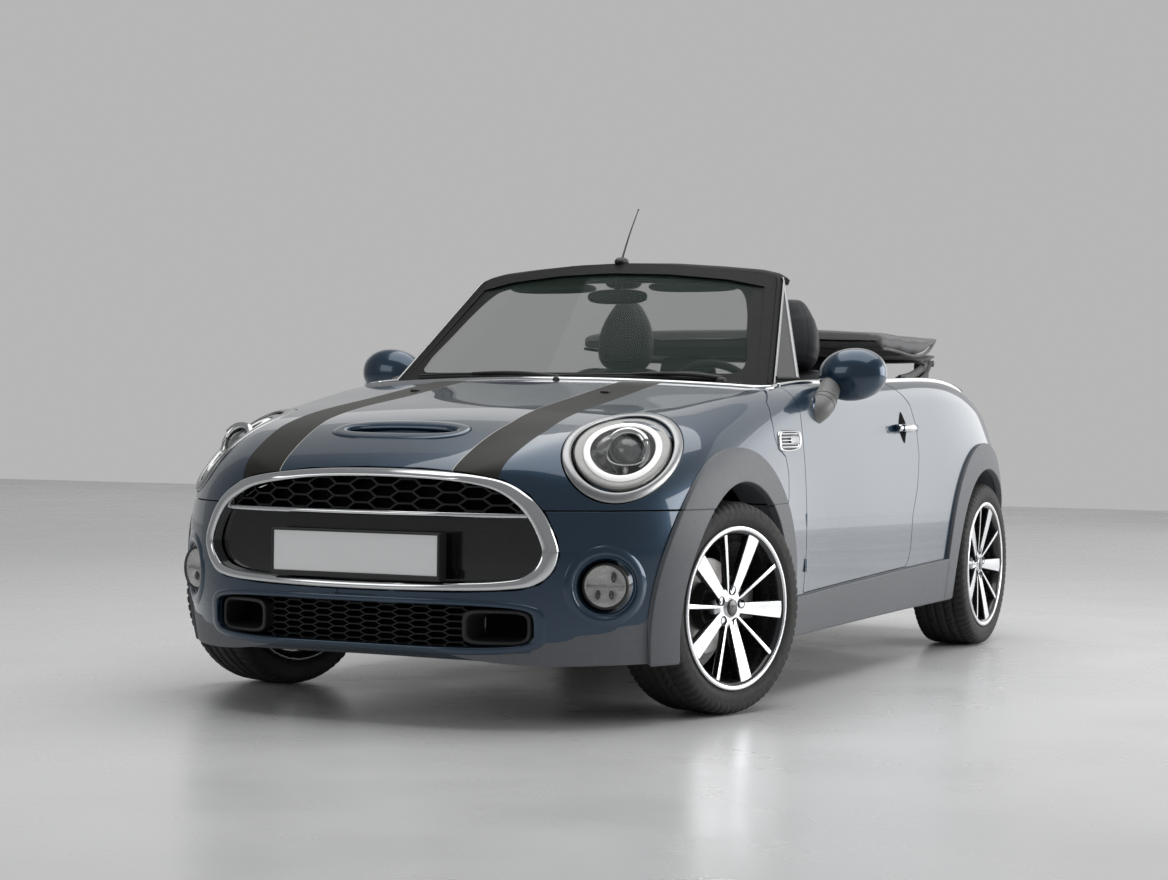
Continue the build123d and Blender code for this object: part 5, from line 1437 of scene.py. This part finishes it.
glass_edge = [(0, 1358), (200, 1354), (380, 1346), (500, 1334), (552, 1306), (574, 1250), (604, 1160),
              (636, 1060), (668, 960), (600, 950), (300, 950), (0, 950)]
clear_edge = [(0, 1304), (200, 1302), (345, 1297), (432, 1284), (470, 1258), (506, 1200), (540, 1120),
              (576, 1036), (566, 1000), (500, 994), (300, 994), (0, 994)]
glass_line, clear_line = [closed_curve(q + [(-x, z) for x, z in q[-2:0:-1]], 240)
                          for q in (glass_edge, clear_edge)]
band = [glass_line * (1 - k) + clear_line * k for k in (0, 0.33, 0.66, 1)]
frit = facing(loft([on_screen(q, 1.5) for q in band]), (0, -1, 0.5))
pillars.append((frit, M_FRIT))
for s in (1, -1):
    z = np.linspace(958, 1318, 30)
    x = np.interp(z, (958, 1304, 1324), (684, 568, 554))
    edge = np.stack([s * (x + 1), screen_y(x, z) + 14, z], 1)
    pillars.append((tube(edge, 4.5, 10, squash=2.2), M_SATIN))
    pillars.append((tube(edge + [-s * 14, -12, 0], 9, 10), M_FRIT))
    wedge_top = (s * 571, -140, 1296)
    wedge_foot, wedge_rear = (s * 682, -488, 982), (s * 702, -352, 982)
    edge_a = np.linspace(wedge_top, wedge_foot, 12)
    edge_b = np.linspace(wedge_top, wedge_rear, 12) + [s * 0.5, 0.5, 0]
    pane = facing(loft([edge_a, edge_a * 0.5 + edge_b * 0.5, edge_b], False), (s, 0, 0))
    pillars.append((rimmed(pane, 6), M_BLACK))
    pillars.append((tube(edge_b, 6.5, 10), M_SATIN))
    pillars.append((tube(np.stack([edge_a[-1], edge_b[-1]]), 7, 10), M_TRIM))
    visor_c = (s * 262, -176, 1293)
    visor = super_ball(visor_c, 162, 30, 14, 3.0)
    pillars.append((moved(visor, about(visor_c, Matrix.Rotation(-0.25, 4, "X"))), M_VISOR))
inner_mirror = super_ball((0, -215, 1260), 110, 18, 25, 2.8)
stem = tube([(0, -196, 1310), (0, -204, 1296), (0, -210, 1280)], 14, 12)
stalk_box = super_ball((0, -166, 1312), 62, 44, 24, 2.6)
piece("screen_surround", [(header, M_FRIT), (inner_mirror, M_TRIM), (stem, M_TRIM), (stalk_box, M_TRIM)]
      + pillars, "car")


WIPER_Z = 975.0


def wiper(pivot, x0, x1):
    """One wiper resting on the foot of the glass: its blade, rubber, arm and cap."""
    x = np.linspace(x0, x1, 30)
    bow = 5 * np.sin(np.linspace(0, math.pi, 30))
    blade = np.stack([x, screen_y(x, np.full(30, WIPER_Z)) - 14, WIPER_Z + bow], 1)
    mid = blade[14] + [0, 0, 10]
    arm_line = open_curve([pivot, (pivot[0] * 0.85 + mid[0] * 0.15, pivot[1], 984), mid], 14)
    return [(tube(blade, 5, 8, squash=1.6), M_TRIM), (tube(blade + [0, 0, 9], 3.2, 8), M_TRIM),
            (tube(arm_line, np.linspace(8, 5, 14), 10), M_TRIM),
            (super_ball((pivot[0], pivot[1], 968), 17, 17, 14, 2.4), M_TRIM)]


wipers = wiper((560.0, -648.0, 978.0), 20, 540) + wiper((40.0, -748.0, 978.0), -560, -40)
piece("wipers_dressed", wipers, "car", ("wipers",))
mast = open_curve([(0, -184, 1384), (0, -120, 1480), (0, -50, 1568)], 20)
fin = super_ball((0, -184, 1380), 22, 34, 16, 2.0)
piece("aerial_dressed", [(tube(mast, np.linspace(3.6, 1.8, 20), 10), M_TRIM), (fin, M_TRIM),
                         (ball((0, -50, 1568), 3.2, 12), M_TRIM)], "car", ("aerial",))


# ------------------------------------------------------------------ seats
def pad(rows, power, n=96, dress=None):
    """Soft closed form through (centre, half width, half thickness, up axis) rows.

    dress moves its front face.
    """
    rings = []
    count = len(rows)
    t = all_round(n)
    for i, (c, a, b, n_dir) in enumerate(rows):
        x = a * squared(np.cos(t), power)
        h = b * squared(np.sin(t), power)
        if dress:
            h = h + np.where(np.sin(t) > 0, dress(x / a, i / (count - 1.0)), 0) * np.abs(np.sin(t)) ** 0.3
        rings.append(np.asarray(c) + x[:, None] * np.array([1.0, 0, 0]) + h[:, None] * np.asarray(n_dir))
    return outward(loft(rings))


def rounded_rows(points, halves, thick, count, normal):
    """Rows of a pad with both ends rounded off."""
    p = open_curve(points, count)
    k = np.linspace(0, 1, count)
    a = np.interp(k, np.linspace(0, 1, len(halves)), halves)
    b = np.interp(k, np.linspace(0, 1, len(thick)), thick)
    end = 0.09
    near = np.clip(np.minimum(k, 1 - k) / end, 0.0004, 1)
    f = (1 - (1 - near) ** 2.6) ** (1 / 2.6)
    wide = a * (0.80 + 0.20 * f) * np.maximum(f, 0.02) ** 0.35
    return [(p[i], wide[i], b[i] * f[i], normal) for i in range(count)]


def padded_piece(name, mesh, replaces=()):
    piece(name, [(mesh, M_LEATHER)], "car", replaces)


def seat_dress(side_lift, channels, cross):
    """Side bolsters, sewn channels along the seat and seams across it."""
    def dress(u, v):
        lift = side_lift * np.clip((np.abs(u) - 0.56) / 0.2, 0, 1) ** 1.5
        lift -= 7 * np.exp(-((np.abs(u) - 0.56) / 0.03) ** 2)
        for c in channels:
            lift -= 3.5 * np.exp(-((u - c) / 0.02) ** 2)
        for c in cross:
            lift -= 4.5 * np.exp(-((v - c) / 0.012) ** 2) * (np.abs(u) < 0.56)
        lift += 5 * np.sin(v * 9 + u * 3) * 0.2
        return lift
    return dress


SEAT_X, HEADREST_X, REAR_HEADREST_X = 360, 327, 280
back_n = np.array([0, -0.95, 0.31])
for s, tag in SIDES:
    first = s > 0
    x = s * SEAT_X
    base = [(x, -52, 452), (x, 120, 456), (x, 300, 446), (x, 462, 432)]
    rows = rounded_rows(base, (215, 245, 250, 240), (62, 66, 64, 60), 90, np.array([0, 0.04, 1.0]))
    padded_piece(f"seat_cushion_{tag}", pad(rows, 3.0, dress=seat_dress(16, (-0.28, 0, 0.28), (0.35,))),
                 ("front_seat_cushions",) if first else ())
    line = [(x, 462, 478), (x, 500, 650), (x, 560, 850), (x, 622, 1028)]
    rows = rounded_rows(line, (225, 250, 252, 238, 180), (62, 66, 62, 52), 110, back_n)
    padded_piece(f"seat_back_{tag}", pad(rows, 3.0, dress=seat_dress(20, (-0.28, 0, 0.28), (0.3, 0.62))),
                 ("front_seat_backs",) if first else ())
    head_line = [(s * HEADREST_X, y, z) for y, z in ((566, 1032), (575, 1110), (588, 1200), (600, 1284))]
    rows = rounded_rows(head_line, (82, 104, 112, 110, 102, 88, 66, 40), (44, 54, 56, 54, 50, 42, 30), 70,
                        back_n)
    head = pad(rows, 2.2, dress=lambda u, v: -3.0 * np.exp(-((np.abs(u) - 0.72) / 0.03) ** 2))
    padded_piece(f"headrest_{tag}", head)
    base_box = box_mesh(x - 190, x + 190, 0, 420, 243, 400, 20)
    slide = [box_mesh(x + k - 14, x + k + 14, -40, 460, 243, 268, 5) for k in (-170, 170)]
    piece(f"seat_frame_{tag}", [(base_box, M_CABIN)] + [(m, M_STEEL) for m in slide], "car")
rows = rounded_rows([(0, 745, 425), (0, 900, 420), (0, 1055, 412)], (525, 540, 535), (58, 62, 60), 70,
                    np.array([0, 0, 1.0]))
padded_piece("rear_cushion", pad(rows, 4.2, 160, seat_dress(8, (-0.06, 0.06), (0.4,))), ("rear_seats",))
rows = rounded_rows([(0, 1058, 478), (0, 1066, 700), (0, 1076, 938)], (530, 538, 515), (44, 46, 38), 80,
                    np.array([0, -1.0, 0.08]))
padded_piece("rear_backrest", pad(rows, 4.2, 160, seat_dress(8, (-0.06, 0.06), (0.5,))))
for s, tag in SIDES:
    head_line = [(s * REAR_HEADREST_X, y, z) for y, z in ((1058, 932), (1062, 1010), (1064, 1092))]
    rows = rounded_rows(head_line, (100, 120, 104), (40, 48, 38), 50, np.array([0, -1.0, 0.05]))
    padded_piece(f"rear_headrest_{tag}", pad(rows, 2.8))

# ------------------------------------------------------------------ steering wheel and dashboard
wheel_m = Matrix(((1, 0, 0, 360), (0, 0.423, 0.906, -190), (0, -0.906, 0.423, 872), (0, 0, 0, 1)))
hoop = []
for i in all_round(96):
    q = all_round(20)
    grip_r = 14.5 + 1.5 * math.exp(-((math.sin(i) - 0.5) / 0.2) ** 2)
    r = 178 + grip_r * np.cos(q) * 0.92
    hoop.append(np.stack([r * math.cos(i), r * math.sin(i), grip_r * np.sin(q)], 1))
hoop = np.stack(hoop)
hoop = grid_mesh(np.concatenate([hoop, hoop[:1]]), True)
sw = [(outward(hoop), M_LEATHER), (super_ball((0, 0, -16), 66, 56, 26, 2.8), M_CABIN)]
for deg, w in ((5, 17), (175, 17), (270, 20)):
    a = math.radians(deg)
    arm = [np.array([math.cos(a) * r, math.sin(a) * r, z])
           for r, z in ((40, -14), (90, -16), (135, -10), (172, -2))]
    sw.append((tube(open_curve(arm, 20), w, 16, squash=0.42), M_CABIN))
    sw.append((tube(open_curve([p + [0, 0, 7] for p in arm[1:]], 12), w * 0.4, 12, squash=0.3), M_SATIN))
sw.append((tube([(0, 0, -30), (0, 0, -52)], 25, 20), M_CABIN))
piece("steering_wheel_dressed", [(moved(m, wheel_m), mat) for m, mat in sw], "steering_wheel",
      ("steering_wheel",))


def ring_x(c, r0, r1, way, mat, h):
    """Round bezel about a point, looking along way."""
    n = unit(np.asarray(way, float))
    u = unit(np.cross(n, [0, 0, 1.0]))
    v = np.cross(u, n)
    rows = [np.asarray(c) + n * z + ring_of(u, v, r, 64)
            for r, z in ((r0, -4), (r0, h * 0.6), (r0 * 0.97, h), (r1 * 1.05, h), (r1, h * 0.5), (r1, -6))]
    return facing(loft(rows), n), mat


dash_bits = [ring_x((0, -383, 802), 118, 104, (0, 1, 0.05), M_SATIN, 8),
             ring_x((0, -383, 802), 104, 2, (0, 1, 0.05), M_BLACK, 2)]
for x in (-520, -190, 190, 520):
    dash_bits.append(ring_x((x, -414, 850), 42, 36, (0, 1, 0.1), M_SATIN, 7))
    dash_bits += [(box_mesh(x - 34, x + 34, -420, -410, 850 + k - 2, 850 + k + 2, 1.5), M_TRIM)
                  for k in (-24, -12, 0, 12, 24)]
for x in (325, 395):
    dash_bits.append(ring_x((x, -352, 925), 46, 41, (0, 0.95, 0.2), M_SATIN, 6))
    dash_bits.append(ring_x((x, -352, 925), 41, 1, (0, 0.95, 0.2), M_BLACK, 1))
binnacle = super_ball((360, -400, 930), 128, 66, 62, 2.4)
pad_top = super_ball((0, -520, 948), 600, 108, 18, 3.6)
dash_bits += [(binnacle, M_CABIN), (pad_top, M_CABIN)]
for k in range(6):
    dash_bits.append((box_mesh(-62 + k * 21, -48 + k * 21, -372, -352, 668, 690, 3), M_SATIN))
piece("dash_dressing", dash_bits, "car")
lever = [(tube([(0, -150, 655), (0, -152, 676)], 20, 20), M_CABIN), (ball((0, -152, 690), 26, 28), M_LEATHER),
         (tube(open_curve([(-30, 120, 556), (-30, 60, 600), (-30, -10, 622)], 16), 14, 14), M_LEATHER)]
for y in (20, 120):
    lever.append(ring_x((20, y, 548), 40, 34, (0, 0, 1), M_SATIN, 4))
piece("console_dressing", lever, "car")

# ------------------------------------------------------------------ folded hood
HOOD_HALF = 604


def fabric(rows, power, wrinkle, seed):
    """Folded cloth: closed rings with slow waves and a seam near each edge."""
    r = np.random.default_rng(seed)
    ph = r.uniform(0, 6.28, (6, 3))
    fr = r.uniform(1, 4, (6, 2))
    t = all_round(120)
    rings = []
    for y, z, a, b, crown in rows:
        x = a * squared(np.cos(t), power)
        h = b * squared(np.sin(t), power)
        h = h + crown * (1 - (x / HOOD_HALF) ** 2)
        w = sum(np.sin(x / HOOD_HALF * fr[k, 0] * 3 + ph[k, 0]) * np.sin(y / 100 * fr[k, 1] + ph[k, 1])
                for k in range(6))
        h = h + wrinkle * w
        h = h - 2.5 * np.exp(-((np.abs(x) - a * 0.93) / 5) ** 2) * (np.sin(t) > 0)
        rings.append(np.stack([x, np.full(120, float(y)), z + h], 1))
    return outward(loft(rings))


def slab_rows(stations, a, crown, bows=()):
    """Rows through (y, middle z, half thick) stations with both ends rounded."""
    st = np.asarray(stations, float)
    y = np.linspace(st[0, 0], st[-1, 0], 100)
    near = np.clip(np.minimum((y - y[0]), (y[-1] - y)) / 22.0, 0.004, 1)
    f = (1 - (1 - near) ** 2.2) ** (1 / 2.2)
    lift = sum(4.0 * np.exp(-((y - c) / 22) ** 2) for c in bows) if len(bows) else 0 * y
    z = natural_spline(st[:, 0], st[:, 1], y) + lift
    b = natural_spline(st[:, 0], st[:, 2], y) * f
    return [(y[i], z[i], a * (0.965 + 0.035 * f[i]), b[i], crown) for i in range(100)]


UPPER = ((785, 1141, 34), (982, 1139, 38), (1115, 1136, 40), (1260, 1136, 41), (1374, 1150, 25),
         (1470, 1171, 7))
FLAP = ((1236, 1080, 6), (1318, 1082, 12), (1400, 1092, 13), (1449, 1101, 10), (1484, 1108, 5))
upper_fold = fabric(slab_rows(UPPER, HOOD_HALF, 10, bows=(830, 1010, 1190, 1370)), 5.0, 0.9, 3)
under_fold = fabric(slab_rows(FLAP, 596, 8), 4.5, 1.2, 5)
low_fold = fabric(slab_rows(((1136, 985, 34), (1300, 977, 32), (1474, 968, 30)), 598, 2), 4.0, 1.8, 9)
hem = []
for s in (1, -1):
    path = open_curve([(s * 602, 800, 1116), (s * 604, 1000, 1108), (s * 604, 1240, 1100),
                       (s * 602, 1380, 1130), (s * 596, 1466, 1168)], 60)
    hem.append((tube(path, 6, 10), M_HOOD))
    link = open_curve([(s * 628, y, z) for y, z in ((1290, 1072), (1180, 1044), (1060, 1018), (930, 1004))],
                      30)
    hem.append((tube(link, 10, 12, squash=1.8), M_TRIM))
    link2 = open_curve([(s * 640, 1276, 1076), (s * 640, 1210, 1030), (s * 638, 1120, 1000)], 20)
    hem.append((tube(link2, 7, 12, squash=1.6), M_STEEL))
    hem.append((box_mesh(s * 618 - 22, s * 618 + 22, 1196, 1258, 940, 1074, 8), M_TRIM))
    hem.append((box_mesh(s * 640 - 24, s * 640 + 24, 1180, 1300, 705, 950, 12), M_TRIM))
    for y, z in ((1284, 1072), (1130, 1002), (940, 1004)):
        hem.append((tube([(s * 612, y, z), (s * 648, y, z)], 12, 18), M_STEEL))
ob = piece("hood_upper_fold", [(upper_fold, M_HOOD)] + hem, "car", ("soft_top",))
for nm, m in (("hood_under_fold", under_fold), ("hood_low_fold", low_fold)):
    ob = piece(nm, [(m, M_HOOD)], "car")

# ------------------------------------------------------------------ tail lamps and the back
BACK_Y = 1990.0
TAIL_PROFILES = (
    (M_CHROME, ((1.06, -8), (1.05, 2), (1.0, 7), (0.92, 6), (0.88, 0), (0.88, -12))),
    (M_RED, ((0.9, -4), (0.86, 0), (0.7, 3), (0.6, 3))),
    (M_AMBER, ((0.6, 3), (0.57, -2), (0.45, -1), (0.34, 1))),
    (M_RED, ((0.34, 1), (0.32, 4), (0.15, 5), (0.01, 5))))


def on_back(x, z):
    """Points on the back of the body, straight ahead of (x, z) behind it."""
    return cast(np.stack([x, np.full_like(x, BACK_Y), z], 1), (0, -1, 0), 700)


tails = []
for s in (1, -1):
    def tail_ring(k, h):
        q = oval(TAIL_X, TAIL_Z, TAIL_A * k, TAIL_B * k, 72, 3.0)
        return on_back(s * q[:, 0], q[:, 1]) + [0, h, 0]
    tails += [(built(tail_ring, profile, ASTERN), mat) for mat, profile in TAIL_PROFILES]
piece("tail_lamp_units", tails, "car", ("tail_lamps",))
bp = on_back(np.linspace(-250, 250, 50), np.full(50, 655.0)) + [0, 8, 0]
lid_bits = [(tube(bp, 11, 14, squash=1.3), M_CHROME)]
vx, vz = np.meshgrid(np.linspace(-170, 170, 30), np.linspace(842, 858, 6))
vp = (on_back(vx.ravel(), vz.ravel()) + [0, 2.5, 0]).reshape(6, 30, 3)
lid_bits.append((rimmed(facing(grid_mesh(vp), ASTERN), 5), M_RED))
piece("boot_lid_trim", lid_bits, "boot_lid")
frame_bits = [(bar, M_TRIM)
              for bar in plate_bars(266, (455, 462), (342, 350), (346, 458), (1918, 1934), 3)]
EXHAUST_X, EXHAUST_Z, REFLECTOR_X, REFLECTOR_Z = 52, 232, 520, 330
for s in (1, -1):
    t = all_round(48)
    tip = [np.stack([s * EXHAUST_X + r * np.cos(t), np.full(48, float(y)), EXHAUST_Z + r * np.sin(t)], 1)
           for r, y in ((37, 1840), (38, 1905), (39, 1922), (37.5, 1926), (35, 1922), (34, 1840))]
    frame_bits.append((facing(loft(tip), ASTERN), M_CHROME))
    lens = oval(0, 0, 52, 20, 40, 3.5)
    rows = [on_back(s * REFLECTOR_X + lens[:, 0] * k, REFLECTOR_Z + lens[:, 1] * k) + [0, h, 0]
            for k, h in ((1, -1), (0.9, 3), (0.5, 4), (0.01, 4))]
    frame_bits.append((facing(loft(rows), ASTERN), M_RED))
piece("rear_trim", frame_bits, "car")

# ------------------------------------------------------------------ floor, light and camera
def plane(name, corners, mat):
    me = bpy.data.meshes.new(name)
    me.from_pydata(corners, [], [tuple(range(len(corners)))])
    me.materials.append(mat)
    ob = bpy.data.objects.new(name, me)
    bpy.context.scene.collection.objects.link(ob)
    return ob


M_FLOOR = make("studio_floor", (0.68, 0.68, 0.68), (0.74, 0.74, 0.735), 0.6, (0.22, 0.34),
               bumps=(("noise", 3.0, 0.3),))
M_WALL = make("studio_wall", (0.80, 0.80, 0.80), (0.84, 0.84, 0.84), 0.5, (0.8, 0.9))


def seen_directly(nt):
    """1 for camera, glossy and transmission rays, for a background that keeps its own pale colour."""
    path = nt.nodes.new("ShaderNodeLightPath")
    top = path.outputs["Is Camera Ray"]
    for name in ("Is Glossy Ray", "Is Transmission Ray"):
        pick = nt.nodes.new("ShaderNodeMath")
        pick.operation = "MAXIMUM"
        nt.links.new(top, pick.inputs[0])
        nt.links.new(path.outputs[name], pick.inputs[1])
        top = pick.outputs[0]
    return top


wall_nt = M_WALL.node_tree
glow = wall_nt.nodes.new("ShaderNodeEmission")
glow.inputs["Color"].default_value = (0.47, 0.47, 0.468, 1)
blend = wall_nt.nodes.new("ShaderNodeMixShader")
wall_nt.links.new(seen_directly(wall_nt), blend.inputs[0])
wall_nt.links.new(wall_nt.nodes["Principled BSDF"].outputs[0], blend.inputs[1])
wall_nt.links.new(glow.outputs[0], blend.inputs[2])
wall_nt.links.new(blend.outputs[0], wall_nt.nodes["Material Output"].inputs["Surface"])
plane("floor", [(-60, -60, 0), (60, -60, 0), (60, 60, 0), (-60, 60, 0)], M_FLOOR)
plane("backdrop", [(-60, 16, 0), (60, 16, 0), (60, 16, 30), (-60, 16, 30)], M_WALL)


def lamp(name, place, aim, size, power):
    data = bpy.data.lights.new(name, "AREA")
    data.shape = "RECTANGLE"
    data.size, data.size_y = size
    data.energy = power
    ob = bpy.data.objects.new(name, data)
    ob.location = place
    ob.rotation_euler = (Vector(aim) - Vector(place)).to_track_quat("-Z", "Y").to_euler()
    ob.visible_camera = False
    bpy.context.scene.collection.objects.link(ob)
    return ob


lamp("top_soft", (0.5, 0.2, 5.2), (0, 0.2, 0), (7.0, 6.0), 255)
lamp("side_panel", (5.6, 9.4, 2.4), (0.9, 0.2, 0.6), (10.0, 5.0), 190)
lamp("left_wall", (6.4, 2.6, 1.9), (0, -1.4, 0.5), (4.4, 3.0), 190)
lamp("front_fill", (-3.5, -7.5, 3.2), (0, -0.5, 0.5), (4.0, 3.0), 55)
lamp("far_floor", (0, 10.5, 6.5), (0, 10.5, 0), (30.0, 7.0), 260)
world = bpy.data.worlds.new("world")
world.use_nodes = True
bpy.context.scene.world = world
sky = world.node_tree.nodes["Background"]
sky.inputs["Color"].default_value = (0.96, 0.98, 1.0, 1)
sky.inputs["Strength"].default_value = 0.28

CAM_PLACE = (3.393, -7.588, 0.853)
CAM_YAW_DEG, CAM_PITCH_DEG, CAM_ROLL_DEG = -25.47, -0.56, 0.69
CAM_FOCAL_PX, PHOTO_WIDE_PX, SENSOR_MM = 2394.5, 1168, 36.0
yaw, pitch, roll = (math.radians(v) for v in (CAM_YAW_DEG, CAM_PITCH_DEG, CAM_ROLL_DEG))
look = Vector((math.sin(yaw) * math.cos(pitch), math.cos(yaw) * math.cos(pitch), math.sin(pitch)))
level = look.cross(Vector((0, 0, 1))).normalized()
above = level.cross(look)
cam_x = math.cos(roll) * level + math.sin(roll) * above
cam_y = -math.sin(roll) * level + math.cos(roll) * above
camera = bpy.data.cameras.new("camera")
camera.sensor_width = SENSOR_MM
camera.lens = CAM_FOCAL_PX / PHOTO_WIDE_PX * SENSOR_MM
eye = bpy.data.objects.new("camera", camera)
eye.matrix_world = Matrix((
    (cam_x.x, cam_y.x, -look.x, CAM_PLACE[0]), (cam_x.y, cam_y.y, -look.y, CAM_PLACE[1]),
    (cam_x.z, cam_y.z, -look.z, CAM_PLACE[2]), (0, 0, 0, 1)))
bpy.context.scene.collection.objects.link(eye)
bpy.context.scene.camera = eye
bpy.context.scene.view_settings.view_transform = "Standard"
